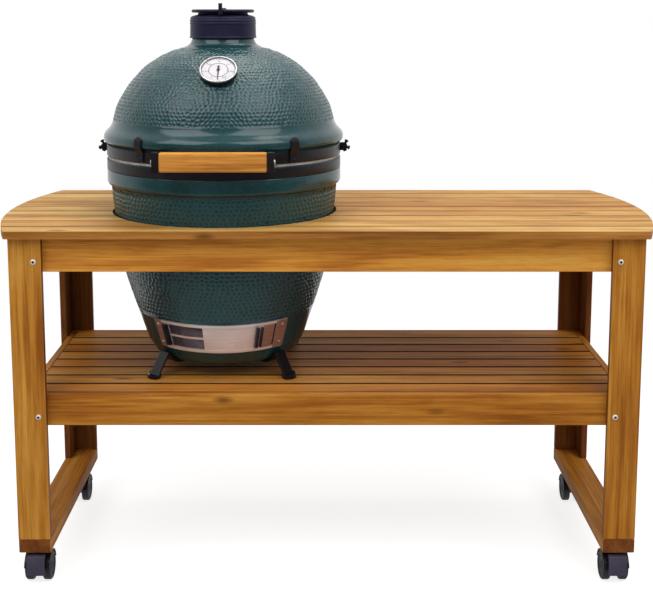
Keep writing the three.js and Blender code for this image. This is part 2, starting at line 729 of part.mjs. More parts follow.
// Firebox, grate, fire ring and cooking grid stand on each other inside the base
function addFireParts() {
  const boxFoot = BASE_FLOOR + FIT;
  const boxTop = boxFoot + FIREBOX_HEIGHT;
  const ledge = BASE_FLOOR + GRATE_LEDGE;
  const ledgeOuter = fireboxNeck + GRATE_LEDGE_WIDTH;
  const firebox = [
    [0, boxFoot],
    [linerAt(boxFoot), boxFoot],
    [linerAt(boxTop), boxTop],
    [linerAt(boxTop) - FIREBOX_RIM_WALL, boxTop],
    [ledgeOuter, ledge],
    [fireboxNeck, ledge],
    [fireboxNeck, boxFoot + FIREBOX_FLOOR],
    [0, boxFoot + FIREBOX_FLOOR],
  ];
  place(kettle, "firebox", cut(turned(firebox, RING_FACETS), draftCut()), finishes.fireclay);

  const grateFoot = ledge + FIT;
  const grateRadius = ledgeOuter - GRATE_PLAY;
  const holes = GRATE_RING_COUNTS.flatMap((count, ring) => {
    const away = (grateRadius * (ring + 1)) / (GRATE_RING_COUNTS.length + 1);
    return Array.from({ length: count }, (_, i) => {
      const angle = (2 * Math.PI * i) / count;
      const hole = rodZ(GRATE_HOLE, grateFoot - OVERRUN, grateFoot + GRATE_THICK + OVERRUN, 6);
      return hole.translate(away * Math.cos(angle), away * Math.sin(angle), 0);
    });
  });
  const disc = rodZ(grateRadius, grateFoot, grateFoot + GRATE_THICK, RING_FACETS);
  place(kettle, "fire_grate", cut(disc, ...holes), finishes.iron);

  const gridTop = splitHeight - GRID_BELOW_SPLIT;
  const ringFoot = boxTop + FIT;
  const ringTop = gridTop - GRID_RIM_THICK - FIT;
  const ringOuter = [linerAt(ringFoot), Math.min(linerAt(ringTop), kettleBore - LINER_GAP)];
  const ring = [
    [ringOuter[0], ringFoot],
    [ringOuter[1], ringTop],
    [ringOuter[1] - RING_WALL, ringTop],
    [ringOuter[0] - RING_WALL, ringFoot],
  ];
  place(kettle, "fire_ring", turned(ring, RING_FACETS), finishes.fireclay);

  const gridRadius = ringOuter[1] - RING_WALL / 3;
  const rim = [
    [gridRadius - GRID_RIM_THICK, gridTop - GRID_RIM_THICK],
    [gridRadius, gridTop - GRID_RIM_THICK],
    [gridRadius, gridTop],
    [gridRadius - GRID_RIM_THICK, gridTop],
  ];
  const wires = [];
  for (let i = 1; i < GRID_GAPS; i++) {
    const x = -gridRadius + (2 * gridRadius * i) / GRID_GAPS;
    const reach = Math.sqrt(gridRadius ** 2 - x ** 2) - GRID_RIM_THICK / 2;
    const low = [x - GRID_WIRE / 2, -reach, gridTop - GRID_WIRE_DROP - GRID_WIRE];
    wires.push(box(low, [x + GRID_WIRE / 2, reach, gridTop - GRID_WIRE_DROP]));
  }
  const across = gridRadius - GRID_RIM_THICK / 2;
  const crossLow = [-across, -GRID_WIRE / 2, gridTop - GRID_RIM_THICK + GRID_WIRE_DROP];
  wires.push(box(crossLow, [across, GRID_WIRE / 2, gridTop - GRID_WIRE / 2]));
  place(kettle, "cooking_grid", join(turned(rim, RING_FACETS), ...wires), finishes.stainless);
}

// Felt gaskets on both rims, and the steel bands round them
function addRims() {
  const gasket = (low) => [
    [bandSeat - FIT - GASKET_WIDTH, low],
    [bandSeat - FIT, low],
    [bandSeat - FIT, low + GASKET_THICK],
    [bandSeat - FIT - GASKET_WIDTH, low + GASKET_THICK],
  ];
  place(kettle, "base_gasket", turned(gasket(baseTop), KETTLE_FACETS), finishes.felt);
  place(lid, "lid_gasket", turned(gasket(0), KETTLE_FACETS), finishes.felt);
  const hoop = (low, high) => [
    [rimRadius - BAND_THICK, low],
    [rimRadius, low],
    [rimRadius, high],
    [rimRadius - BAND_THICK, high],
  ];
  const baseBandFoot = BASE_WALL_TOP + BASE_RIM_HEIGHT;
  const baseBand = turned(hoop(baseBandFoot, baseBandFoot + BAND_HEIGHT), KETTLE_FACETS);
  place(kettle, "base_band", baseBand, finishes.blackSteel);

  const lidBandFoot = GASKET_THICK + FIT;
  const lugs = Object.values(sides).flatMap((sx) =>
    Object.values(faces).map((sy) => {
      const y = sy * (LUG_SPACE / 2 + LUG_THICK / 2);
      const [near, far] = [sx * (rimRadius - BAND_THICK / 2), sx * (rimRadius + LUG_REACH)];
      const low = [Math.min(near, far), y - LUG_THICK / 2, lidBandFoot + BAND_MARGIN];
      return box(low, [Math.max(near, far), y + LUG_THICK / 2, lidBandFoot + LUG_HEIGHT]);
    }),
  );
  const lidBand = turned(hoop(lidBandFoot, lidBandFoot + BAND_HEIGHT + BAND_MARGIN), KETTLE_FACETS);
  const boltX = rimRadius + LUG_REACH / 2;
  const boltZ = lidBandFoot + BAND_HEIGHT / 2 + BAND_MARGIN;
  const boltBore = (sx) => clampRod(CLAMP_BOLT_RADIUS + FIT, 2 * LUG_SPACE).translate(sx * boltX, 0, boltZ);
  const clampBand = cut(join(lidBand, ...lugs), ...Object.values(sides).map(boltBore));
  place(lid, "lid_band", clampBand, finishes.blackSteel);
  for (const [side, sx] of Object.entries(sides)) {
    const shankEnd = LUG_SPACE / 2 + LUG_THICK + FIT;
    const head = clampRod(CLAMP_HEAD_RADIUS, CLAMP_HEAD / 2, 6).translate(0, -shankEnd - CLAMP_HEAD / 2, 0);
    const nut = clampRod(CLAMP_HEAD_RADIUS, CLAMP_HEAD / 2, 6).translate(0, shankEnd + CLAMP_HEAD / 2, 0);
    const bolt = join(clampRod(CLAMP_BOLT_RADIUS, shankEnd + CLAMP_HEAD), head, nut);
    place(lid, `band_bolt_${side}`, bolt.translate(sx * boltX, 0, boltZ), finishes.iron);
  }
}

// A rod along Y about the origin, from -half to half
function clampRod(radius, half, facets = PIN_FACETS) {
  return new THREE.CylinderGeometry(radius, radius, 2 * half, facets);
}

// Kettle lid: skirt, flared rim, dome and chimney
function inset(outline, wall) {
  return outline.map(([r, h], i) => {
    const [r0, h0] = outline[Math.max(i - 1, 0)];
    const [r1, h1] = outline[Math.min(i + 1, outline.length - 1)];
    const length = Math.hypot(r1 - r0, h1 - h0);
    return [r - (wall * (h1 - h0)) / length, h + (wall * (r1 - r0)) / length];
  });
}

function addLid() {
  const skirtTop = GASKET_THICK + LID_SKIRT;
  const rimFoot = skirtTop + LID_RIM_STEP / 3;
  const rimTop = rimFoot + LID_RIM_HEIGHT - LID_RIM_STEP / 5;
  const [domeRadius, domeFoot] = domeOutline[0];
  const [neckRadius, neckFoot] = domeOutline[domeOutline.length - 1];
  const chimneyRadius = neckRadius - CHIMNEY_STEP;
  const chimneyTop = neckFoot + CHIMNEY_HEIGHT;
  const innerDome = everyOther(inset(domeOutline, LID_WALL)).filter(([r]) => r > CHIMNEY_BORE);
  const shoulder = (domeFoot - rimTop) / 3;
  const outline = [
    [bandSeat, GASKET_THICK],
    [bandSeat, skirtTop],
    [lidRim - LID_RIM_STEP / 6, skirtTop + LID_RIM_STEP / 6],
    [lidRim, rimFoot],
    [lidRim, rimTop],
    [domeRadius + LID_RIM_STEP * 0.75, rimTop + shoulder],
    [domeRadius + LID_RIM_STEP * 0.25, rimTop + 2 * shoulder],
    ...domeOutline,
    [chimneyRadius, neckFoot],
    [chimneyRadius, chimneyTop],
    [CHIMNEY_BORE, chimneyTop],
    [CHIMNEY_BORE, radiusAt(innerDome.map(([r, h]) => [h, -r]), -CHIMNEY_BORE)],
    ...innerDome.reverse(),
    [kettleBore, GASKET_THICK],
  ];
  const shell = turned(outline, KETTLE_FACETS);
  const hole = rodZ(STEM_RADIUS + FIT, -STEM_LENGTH, STEM_LENGTH).applyMatrix4(dialMatrix());
  place(lid, "lid_shell", cut(shell, hole), finishes.glaze);
}

// Where the thermometer stands on the dome, with its own +Z out of the dial
function dialMatrix() {
  const height = DIAL_HEIGHT_SHARE * DOME_HEIGHT;
  const above = domeOutline.findIndex(([, h]) => h >= height);
  const [lowRadius, lowHeight] = domeOutline[above - 1];
  const [highRadius, highHeight] = domeOutline[above];
  const lean = Math.atan2(highHeight - lowHeight, lowRadius - highRadius);
  const matrix = new THREE.Matrix4().makeRotationX(lean);
  return matrix.setPosition(DIAL_OFFSET, -radiusAt(domeOutline, height), height);
}

function addThermometer() {
  const thermometer = new THREE.Group();
  thermometer.applyMatrix4(dialMatrix());
  lid.add(thermometer);
  const seat = FIT;
  const floor = DIAL_CASE_HEIGHT - DIAL_RECESS;
  const recessRadius = DIAL_CASE_RADIUS - DIAL_CASE_WALL;
  const pivotTop = floor + DIAL_PLATE + 2 * NEEDLE_LIFT + NEEDLE_THICK;
  const housing = [
    [0, -STEM_LENGTH],
    [STEM_RADIUS, -STEM_LENGTH],
    [STEM_RADIUS, seat],
    [DIAL_CASE_FOOT, seat],
    [DIAL_CASE_RADIUS, DIAL_CASE_HEIGHT / 2],
    [DIAL_CASE_RADIUS, DIAL_CASE_HEIGHT - DIAL_CASE_WALL / 2],
    [DIAL_CASE_RADIUS - DIAL_CASE_WALL / 2, DIAL_CASE_HEIGHT],
    [recessRadius, DIAL_CASE_HEIGHT],
    [recessRadius, floor],
    [DIAL_PIVOT_RADIUS, floor],
    [DIAL_PIVOT_RADIUS, pivotTop],
    [0, pivotTop],
  ];
  place(thermometer, "thermometer_case", turned(housing, DIAL_FACETS), finishes.stainless);
  const bore = DIAL_PIVOT_RADIUS + FIT;
  const plate = [
    [bore, floor + FIT / 3],
    [recessRadius - FIT, floor + FIT / 3],
    [recessRadius - FIT, floor + DIAL_PLATE],
    [bore, floor + DIAL_PLATE],
  ];
  place(thermometer, "thermometer_dial", turned(plate, DIAL_FACETS), finishes.dial);
  const low = floor + DIAL_PLATE + NEEDLE_LIFT;
  const pointer = [
    [-NEEDLE_WIDTH / 2, NEEDLE_TAIL],
    [-NEEDLE_WIDTH / 4, -NEEDLE_LENGTH],
    [NEEDLE_WIDTH / 4, -NEEDLE_LENGTH],
    [NEEDLE_WIDTH / 2, NEEDLE_TAIL],
  ];
  const blank = join(prismZ(pointer, low, low + NEEDLE_THICK), rodZ(NEEDLE_HUB, low, low + NEEDLE_THICK));
  const needleBore = rodZ(bore, low - OVERRUN, low + OVERRUN, 8);
  place(thermometer, "thermometer_needle", cut(blank, needleBore), finishes.blackSteel);
}

// How far round the band a handle bracket stands, from the front
function bracketAngle() {
  return Math.asin((HANDLE_LENGTH / 2 + FIT + BRACKET_THICK / 2) / rimRadius) / DEGREE;
}

// Handle: a wooden bar between two brackets that are bolted to the upper band
function addHandle() {
  const low = HANDLE_RISE - HANDLE_HEIGHT / 2;
  const high = HANDLE_RISE + HANDLE_HEIGHT / 2;
  const back = -handleFront + HANDLE_DEPTH;
  const bar = box([-HANDLE_LENGTH / 2, -handleFront, low], [HANDLE_LENGTH / 2, back, high]);
  place(lid, "handle_bar", bar, finishes.wood);
  const bandLow = GASKET_THICK + FIT + BAND_MARGIN;
  const bandHigh = bandLow + BAND_HEIGHT - BAND_MARGIN;
  const innerX = HANDLE_LENGTH / 2 + FIT;
  const drum = [
    [0, low - OVERRUN],
    [rimRadius + FIT, low - OVERRUN],
    [rimRadius + FIT, high + OVERRUN],
    [0, high + OVERRUN],
  ];
  for (const [side, sx] of Object.entries(sides)) {
    const [near, far] = [sx * innerX, sx * (innerX + BRACKET_THICK)].sort((a, b) => a - b);
    const arm = prismX(
      [
        [-handleFront, low],
        [-handleFront, high],
        [back, high],
        [back + HANDLE_STANDOFF, bandHigh],
        [-rimRadius / 2, bandHigh],
        [-rimRadius / 2, bandLow],
        [back + HANDLE_STANDOFF, bandLow],
        [back, low],
      ],
      near,
      far,
    );
    const angle = sx * bracketAngle();
    const half = BRACKET_FOOT / 2 / rimRadius / DEGREE;
    const foot = arcPiece(
      [
        [rimRadius + FIT, bandLow],
        [rimRadius + FIT + BRACKET_FOOT_THICK, bandLow],
        [rimRadius + FIT + BRACKET_FOOT_THICK, bandHigh],
        [rimRadius + FIT, bandHigh],
      ],
      angle - half,
      angle + half,
      4,
    );
    const bracket = join(cut(arm, turned(drum, HOLE_FACETS)), foot);
    place(lid, `handle_bracket_${side}`, bracket, finishes.blackSteel);
  }
}

// Clips: each is screwed to the upper band and hooks over the lid's flared rim
function addClips() {
  const seat = rimRadius + FIT;
  const bandFoot = GASKET_THICK + FIT + BAND_MARGIN;
  const rimUnder = GASKET_THICK + LID_SKIRT;
  const inner = lidRim + CLIP_PLAY;
  const top = rimUnder + CLIP_HOOK + CLIP_THICK;
  const section = [
    [seat, bandFoot],
    [seat + CLIP_THICK, bandFoot],
    [inner + CLIP_THICK, rimUnder - CLIP_THICK],
    [inner + CLIP_THICK, top],
    [inner - CLIP_THICK / 2, top + CLIP_THICK],
    [inner - CLIP_THICK, top],
    [inner, top - CLIP_THICK],
    [inner, rimUnder - CLIP_THICK / 2],
    [seat, bandFoot + BAND_HEIGHT / 2],
  ];
  const half = CLIP_WIDTH / 2 / lidRim / DEGREE;
  const away = bracketAngle() + (BRACKET_FOOT / 2 + CLIP_SPACE) / rimRadius / DEGREE + half;
  for (const [side, sx] of Object.entries(sides)) {
    const angle = sx * away;
    place(lid, `lid_clip_${side}`, arcPiece(section, angle - half, angle + half, 2), finishes.blackSteel);
  }
}

// Hinge: a lower bracket on the base band, an upper one on the lid band, and a sprung pin
function addHinge() {
  const seat = rimRadius + FIT;
  const earAt = HINGE_EAR_SPACE / 2;
  const armAt = HINGE_ARM_SPACE / 2;
  const bandFoot = -GASKET_THICK - BAND_MARGIN - BAND_HEIGHT;
  const bandTop = -GASKET_THICK - BAND_MARGIN;
  const plateArc = (half, low, high) => {
    const angle = Math.asin(half / seat) / DEGREE;
    const section = [
      [seat, low],
      [seat + HINGE_PLATE_THICK, low],
      [seat + HINGE_PLATE_THICK, high],
      [seat, high],
    ];
    return arcPiece(section, 180 - angle, 180 + angle, 4);
  };
  const pinBore = rodX(HINGE_PIN_RADIUS + FIT, -HINGE_EAR_SPACE, HINGE_EAR_SPACE, hingeReach, 0);
  const boss = (from, to) => rodX(HINGE_EAR_RADIUS, from, to, hingeReach, 0, RING_FACETS);
  const drum = turned(
    [
      [0, bandFoot - OVERRUN],
      [seat, bandFoot - OVERRUN],
      [seat, LID_SKIRT + OVERRUN],
      [0, LID_SKIRT + OVERRUN],
    ],
    KETTLE_FACETS,
  );
  const ears = Object.values(sides).flatMap((s) => {
    const [from, to] = [s * earAt, s * (earAt + HINGE_EAR_THICK)].sort((a, b) => a - b);
    const web = [
      [rimRadius - HINGE_EAR_RADIUS, bandFoot],
      [hingeReach - HINGE_EAR_RADIUS, bandFoot],
      [hingeReach + HINGE_EAR_RADIUS / 2, -HINGE_EAR_RADIUS * 0.8],
      [hingeReach, 0],
      [rimRadius - HINGE_EAR_RADIUS, bandTop],
    ];
    return [prismX(web, from, to), boss(from, to)];
  });
  const lowPlate = plateArc(earAt + HINGE_EAR_THICK, bandFoot, bandTop);
  const lower = cut(join(lowPlate, ...ears), pinBore, drum);
  const lowerMesh = place(kettle, "hinge_base_bracket", lower, finishes.blackSteel);
  lowerMesh.position.set(0, 0, splitHeight);

  const lidBandFoot = GASKET_THICK + FIT + BAND_MARGIN;
  const lidBandTop = lidBandFoot + BAND_HEIGHT - BAND_MARGIN;
  const armOuter = armAt + HINGE_EAR_THICK;
  const arms = Object.values(sides).flatMap((s) => {
    const [from, to] = [s * armAt, s * armOuter].sort((a, b) => a - b);
    const web = [
      [rimRadius - HINGE_EAR_RADIUS, lidBandFoot],
      [hingeReach, 0],
      [hingeReach + HINGE_EAR_RADIUS / 2, HINGE_EAR_RADIUS * 0.8],
      [hingeReach - HINGE_EAR_RADIUS, lidBandTop],
      [rimRadius - HINGE_EAR_RADIUS, lidBandTop],
    ];
    return [prismX(web, from, to), boss(from, to)];
  });
  const highPlate = plateArc(armOuter, lidBandFoot, lidBandTop);
  const upper = cut(join(highPlate, ...arms), pinBore, drum);
  place(lid, "hinge_lid_bracket", upper, finishes.blackSteel);

  const pinEnd = earAt + HINGE_EAR_THICK + FIT;
  const pin = join(
    rodX(HINGE_PIN_RADIUS, -pinEnd - HINGE_PIN_HEAD, pinEnd + HINGE_PIN_HEAD, hingeReach, 0),
    rodX(2 * HINGE_PIN_RADIUS, -pinEnd - HINGE_PIN_HEAD, -pinEnd, hingeReach, 0),
    rodX(2 * HINGE_PIN_RADIUS, pinEnd, pinEnd + HINGE_PIN_HEAD, hingeReach, 0),
  );
  place(kettle, "hinge_pin", pin, finishes.iron).position.set(0, 0, splitHeight);

  for (const [side, sx] of Object.entries(sides)) {
    const spring = hingeSpring(sx);
    place(kettle, `hinge_spring_${side}`, spring, finishes.iron).position.set(0, 0, splitHeight);
  }
}

// One torsion spring round the pin: a leg up to the coil, the curls, and a leg up from it
function hingeSpring(sx) {
  const coilRadius = HINGE_PIN_RADIUS + SPRING_PLAY + SPRING_WIRE / 2;
  const coilLength = SPRING_TURNS * SPRING_PITCH;
  const start = sx * (HINGE_ARM_SPACE / 4) - coilLength / 2;
  const centres = [new THREE.Vector3(start, hingeReach - coilRadius, -SPRING_LEG)];
  const steps = SPRING_TURNS * SPRING_TURN_STEPS;
  for (let i = 0; i <= steps; i++) {
    const angle = (2 * Math.PI * i) / SPRING_TURN_STEPS;
    const y = hingeReach - coilRadius * Math.cos(angle);
    centres.push(new THREE.Vector3(start + (coilLength * i) / steps, y, coilRadius * Math.sin(angle)));
  }
  centres.push(new THREE.Vector3(start + coilLength, hingeReach - coilRadius, SPRING_LEG));
  reportGap(`hinge spring ${sx}`, centres, SPRING_WIRE, SPRING_TURN_STEPS);
  return wire(centres, SPRING_WIRE / 2, SPRING_SIDES);
}

// The least gap between curls that are at least half a turn apart
function reportGap(name, centres, thick, turnSteps) {
  let least = Infinity;
  for (let i = 0; i < centres.length; i++) {
    for (let j = i + Math.ceil(turnSteps / 2); j < centres.length; j++) {
      least = Math.min(least, centres[i].distanceTo(centres[j]) - thick);
    }
  }
  console.log(`${name}: least gap to itself ${least.toFixed(2)} mm`);
}

// An unbroken round wire along points, with flat ends; its sides keep one direction along X.
function wire(centres, radius, count) {
  const places = [];
  const faces = [];
  centres.forEach((centre, i) => {
    const before = centres[Math.max(i - 1, 0)];
    const after = centres[Math.min(i + 1, centres.length - 1)];
    const along = after.clone().sub(before).normalize();
    const side = new THREE.Vector3(1, 0, 0).addScaledVector(along, -along.x).normalize();
    const up = along.clone().cross(side);
    for (let j = 0; j < count; j++) {
      const angle = (2 * Math.PI * j) / count;
      const out = side.clone().multiplyScalar(radius * Math.cos(angle));
      out.addScaledVector(up, radius * Math.sin(angle)).add(centre);
      places.push(out.x, out.y, out.z);
    }
  });
  for (let i = 0; i + 1 < centres.length; i++) {
    for (let j = 0; j < count; j++) {
      const next = (j + 1) % count;
      const [a, b] = [i * count + j, i * count + next];
      const [c, d] = [(i + 1) * count + next, (i + 1) * count + j];
      faces.push(a, b, c, a, c, d);
    }
  }
  const last = (centres.length - 1) * count;
  for (let j = 1; j + 1 < count; j++) {
    faces.push(0, j + 1, j, last, last + j, last + j + 1);
  }
  const geometry = new THREE.BufferGeometry();
  geometry.setAttribute("position", new THREE.Float32BufferAttribute(places, 3));
  return geometry.setIndex(faces);
}

// Vent cap over the chimney, and the damper disc that turns on it
function addVent() {
  const [neckRadius, neckFoot] = domeOutline[domeOutline.length - 1];
  const vent = new THREE.Group();
  vent.position.set(0, 0, neckFoot + FIT);
  lid.add(vent);
  const sleeve = neckRadius - CHIMNEY_STEP + FIT;
  const neckTop = CAP_HEIGHT + CAP_NECK_HEIGHT;
  const discFoot = neckTop + DAMPER_LIFT;
  const discTop = discFoot + DAMPER_THICK;
  const cap = [
    [0, neckTop - CAP_PLATE],
    [CAP_NECK_RADIUS - CAP_WALL, neckTop - CAP_PLATE],
    [CAP_NECK_RADIUS - CAP_WALL, CHIMNEY_HEIGHT],
    [sleeve, CHIMNEY_HEIGHT],
    [sleeve, 0],
    [CAP_FOOT_RADIUS, 0],
    [CAP_TOP_RADIUS, CAP_HEIGHT],
    [CAP_TOP_RADIUS - DAMPER_THICK, CAP_HEIGHT + CAP_NECK_HEIGHT / 4],
    [CAP_NECK_RADIUS, CAP_HEIGHT + CAP_NECK_HEIGHT / 2],
    [CAP_NECK_RADIUS, neckTop],
    [RIVET_RADIUS, neckTop],
    [RIVET_RADIUS, discTop + FIT],
    [RIVET_HEAD_RADIUS, discTop + FIT],
    [RIVET_HEAD_RADIUS * 0.8, discTop + FIT + RIVET_HEAD],
    [0, discTop + FIT + RIVET_HEAD],
  ];
  const holes = (low, high, turn) =>
    Array.from({ length: DAMPER_HOLES }, (_, i) => {
      const angle = (2 * Math.PI * (i + turn)) / DAMPER_HOLES;
      const hole = rodZ(DAMPER_HOLE, low, high, PIN_FACETS);
      return hole.translate(DAMPER_HOLE_RING * Math.cos(angle), DAMPER_HOLE_RING * Math.sin(angle), 0);
    });
  const capHoles = holes(neckTop - CAP_PLATE - OVERRUN, neckTop + DAMPER_LIFT / 2, 0);
  place(vent, "vent_cap", cut(turned(cap, KETTLE_FACETS), ...capHoles), finishes.iron);
  const disc = [
    [RIVET_RADIUS + FIT, discFoot],
    [DAMPER_RADIUS - DAMPER_THICK / 2, discFoot],
    [DAMPER_RADIUS, discFoot + DAMPER_THICK / 2],
    [DAMPER_RADIUS - DAMPER_THICK / 2, discTop],
    [RIVET_RADIUS + FIT, discTop],
  ];
  const tabFront = -DAMPER_RADIUS - TAB_DEPTH / 2;
  const tabLow = [-TAB_WIDTH / 2, tabFront, discFoot - TAB_DROP];
  const tab = box(tabLow, [TAB_WIDTH / 2, tabFront + TAB_DEPTH, discTop + TAB_RISE]);
  const plate = cut(turned(disc, CAP_FACETS), ...holes(discFoot - OVERRUN, discTop + OVERRUN, 0.5));
  place(vent, "damper_disc", join(plate, tab), finishes.iron);
}

// Draft door: a curved steel frame with two panels that slide round the kettle in it
function addDraftDoor() {
  const low = DRAFT_LOW - DRAFT_RAIL_HEIGHT;
  const high = DRAFT_LOW + DRAFT_HEIGHT + DRAFT_RAIL_HEIGHT;
  const skin = (offset, h) => [radiusAt(baseOutline, h) + offset, h];
  const band = (near, far, from, to) => [skin(near, from), skin(far, from), skin(far, to), skin(near, to)];
  const layer = DRAFT_SHEET + DRAFT_SLIDE_GAP;
  const seat = 2 * FIT;
  const screenAt = seat + DRAFT_SHEET + DRAFT_SLIDE_GAP;
  const doorAt = screenAt + layer;
  const lipAt = doorAt + layer;
  const outer = lipAt + DRAFT_SHEET;
  const postInner = DRAFT_FRAME_ANGLE - DRAFT_POST_ANGLE;
  const span = (section, from, to, steps = DRAFT_STEPS) => arcPiece(section, from, to, steps);
  const channel = (edge, way) => {
    const wall = edge + way * DRAFT_SHEET;
    const inside = edge + way * (DRAFT_SHEET + DRAFT_LIP);
    return [
      skin(seat, edge),
      skin(outer, edge),
      skin(outer, inside),
      skin(lipAt, inside),
      skin(lipAt, wall),
      skin(seat + DRAFT_SHEET, wall),
      skin(seat + DRAFT_SHEET, inside),
      skin(seat, inside),
    ];
  };
  const posts = Object.values(sides).map((s) => {
    const ends = [s * postInner, s * DRAFT_FRAME_ANGLE].sort((a, b) => a - b);
    return span(band(seat, outer, low, high), ...ends, 2);
  });
  const rails = [channel(low, 1), channel(high, -1)].map((section) => span(section, -postInner, postInner));
  place(kettle, "draft_frame", join(...posts, ...rails), finishes.stainless);

  const panelLow = low + DRAFT_SHEET + DRAFT_SLIDE_GAP;
  const panelHigh = high - DRAFT_SHEET - DRAFT_SLIDE_GAP;
  const pullLow = low + DRAFT_SHEET + DRAFT_LIP + DRAFT_SLIDE_GAP;
  const pullHigh = high - DRAFT_SHEET - DRAFT_LIP - DRAFT_SLIDE_GAP;
  const pull = (near, angle) => {
    const section = band(near, outer + PULL_DEPTH, pullLow, pullHigh);
    return span(section, angle - PULL_ANGLE, angle + PULL_ANGLE, 1);
  };
  const doorSheet = span(band(doorAt, doorAt + DRAFT_SHEET, panelLow, panelHigh), DOOR_FROM_ANGLE, DOOR_TO_ANGLE);
  const door = join(doorSheet, pull(doorAt, DOOR_PULL_ANGLE));
  place(kettle, "draft_door", door, finishes.stainless);

  const screenSheet = band(screenAt, screenAt + DRAFT_SHEET, panelLow, panelHigh);
  const barAngle = SCREEN_BAR / 2 / radiusAt(baseOutline, DRAFT_LOW) / DEGREE;
  const firstAngle = SCREEN_PULL_ANGLE + PULL_ANGLE + barAngle;
  const bay = (SCREEN_TO_ANGLE - barAngle - firstAngle) / SCREEN_WINDOWS;
  const middle = (pullLow + pullHigh) / 2;
  const rows = [
    [pullLow, middle - SCREEN_BAR / 2],
    [middle + SCREEN_BAR / 2, pullHigh],
  ];
  const windows = rows.flatMap(([from, to]) =>
    Array.from({ length: SCREEN_WINDOWS }, (_, i) => {
      const left = firstAngle + i * bay;
      const section = band(seat, lipAt, from, to);
      return span(section, left, left + bay - 2 * barAngle, 3);
    }),
  );
  const screen = cut(span(screenSheet, SCREEN_FROM_ANGLE, SCREEN_TO_ANGLE), ...windows);
  const screenPanel = join(screen, pull(screenAt, SCREEN_PULL_ANGLE));
  place(kettle, "draft_screen", screenPanel, finishes.stainless);
}

// Nest: a flat ring under the kettle with four bent straps that cradle it and stand on the shelf
function addNest() {
  const half = NEST_STRAP_THICK / 2;
  const under = -FIT - half;
  const ringOuter = NEST_RING_INNER + NEST_RING_WIDTH;
  const bottomRadius = baseOutline[0][0];
  const beside = (h) => [radiusAt(baseOutline, h) + NEST_STRAP_THICK, h];
  const crest = beside(NEST_CRADLE_RISE);
  const toeHeight = half - NEST_HEIGHT;
  const footRadius = crest[0] + NEST_LEG_RUN;
  const path = [
    [NEST_RING_INNER + half, under],
    [bottomRadius, under],
    [beside(NEST_CRADLE_RISE / 6)[0], NEST_CRADLE_RISE / 6 - half],
    [beside(NEST_CRADLE_RISE / 2)[0], NEST_CRADLE_RISE / 2 - half],
    crest,
    [crest[0] + NEST_STRAP_THICK, NEST_CRADLE_RISE],
    [footRadius - NEST_STRAP_THICK / 2, toeHeight + NEST_STRAP_THICK],
    [footRadius + NEST_STRAP_THICK / 2, toeHeight],
    [footRadius + NEST_TOE, toeHeight],
  ];
  const legs = Array.from({ length: NEST_LEGS }, (_, i) => {
    const leg = prismX(strap(path, NEST_STRAP_THICK), -NEST_STRAP_WIDTH / 2, NEST_STRAP_WIDTH / 2);
    return leg.rotateZ(((i + 0.5) / NEST_LEGS) * 2 * Math.PI);
  });
  const ring = [
    [NEST_RING_INNER, under - half],
    [ringOuter, under - half],
    [ringOuter, under + half],
    [NEST_RING_INNER, under + half],
  ];
  place(kettle, "nest", join(turned(ring, RING_FACETS), ...legs), finishes.blackSteel);
}

addLegs();
addFootBoards();
addRails("top", slatFoot - TOP_RAIL_HEIGHT, slatFoot);
addRails("shelf", shelfHeight - SHELF_RAIL_HEIGHT, shelfHeight);
addWorktop();
addShelf();
addCasters();
addBase();
addFireParts();
addRims();
addLid();
addThermometer();
addHandle();
addClips();
addHinge();
addVent();
addDraftDoor();
addNest();

export default model;
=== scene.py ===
# %% [markdown]
# # A grill table with a ceramic kettle
# The real object is a slatted hardwood table on casters. A glazed clay kettle stands on its shelf and
# rises through a round hole in its top. Every moving or bearing piece already exists as a plain solid, the
# frame. This lesson gives each of them its finished surface, piece by piece, at the same place and size.

# %% Load the frame
import json
import math
import random

import bmesh
import bpy
from mathutils import Matrix, Vector


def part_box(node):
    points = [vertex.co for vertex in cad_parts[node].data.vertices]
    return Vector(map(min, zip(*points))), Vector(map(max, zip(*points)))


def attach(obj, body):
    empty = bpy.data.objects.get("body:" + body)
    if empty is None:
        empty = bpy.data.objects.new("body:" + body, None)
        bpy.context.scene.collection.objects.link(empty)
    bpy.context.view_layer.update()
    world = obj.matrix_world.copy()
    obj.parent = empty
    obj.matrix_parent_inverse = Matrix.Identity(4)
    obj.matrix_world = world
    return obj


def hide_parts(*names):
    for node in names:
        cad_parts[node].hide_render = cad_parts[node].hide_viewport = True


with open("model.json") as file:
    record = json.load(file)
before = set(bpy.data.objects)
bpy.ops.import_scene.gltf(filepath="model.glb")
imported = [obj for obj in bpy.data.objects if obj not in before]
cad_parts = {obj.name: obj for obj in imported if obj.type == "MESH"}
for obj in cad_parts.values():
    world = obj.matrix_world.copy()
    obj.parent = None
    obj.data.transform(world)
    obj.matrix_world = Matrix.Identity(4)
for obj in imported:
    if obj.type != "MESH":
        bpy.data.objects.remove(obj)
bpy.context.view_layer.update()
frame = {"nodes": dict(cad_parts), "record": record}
record = frame["record"]
body_of_node = {n: body for body, members in record["behaviour"]["bodies"].items() for n in members}
slot_of_node = {part["node"]: part["material_slot"] for part in record["subparts"]}
scene = bpy.context.scene

# %% [markdown]
# ## The camera
# The photograph was taken from just in front of the table, a little above the worktop, with a long lens.
# The picture's height is shifted a little, as a view camera does, so the legs stay nearly upright. Tilting
# the camera alone would make them lean, and a level camera alone would cut off the casters.

# %% Camera
CAMERA_PLACE = (-0.014, -2.892, 1.282)
CAMERA_TILT = (81.48, 0.0, 0.0)  # degrees
CAMERA_LENS = 67.5  # mm, on a 36 mm sensor
CAMERA_SHIFT = (0.0092, -0.16)

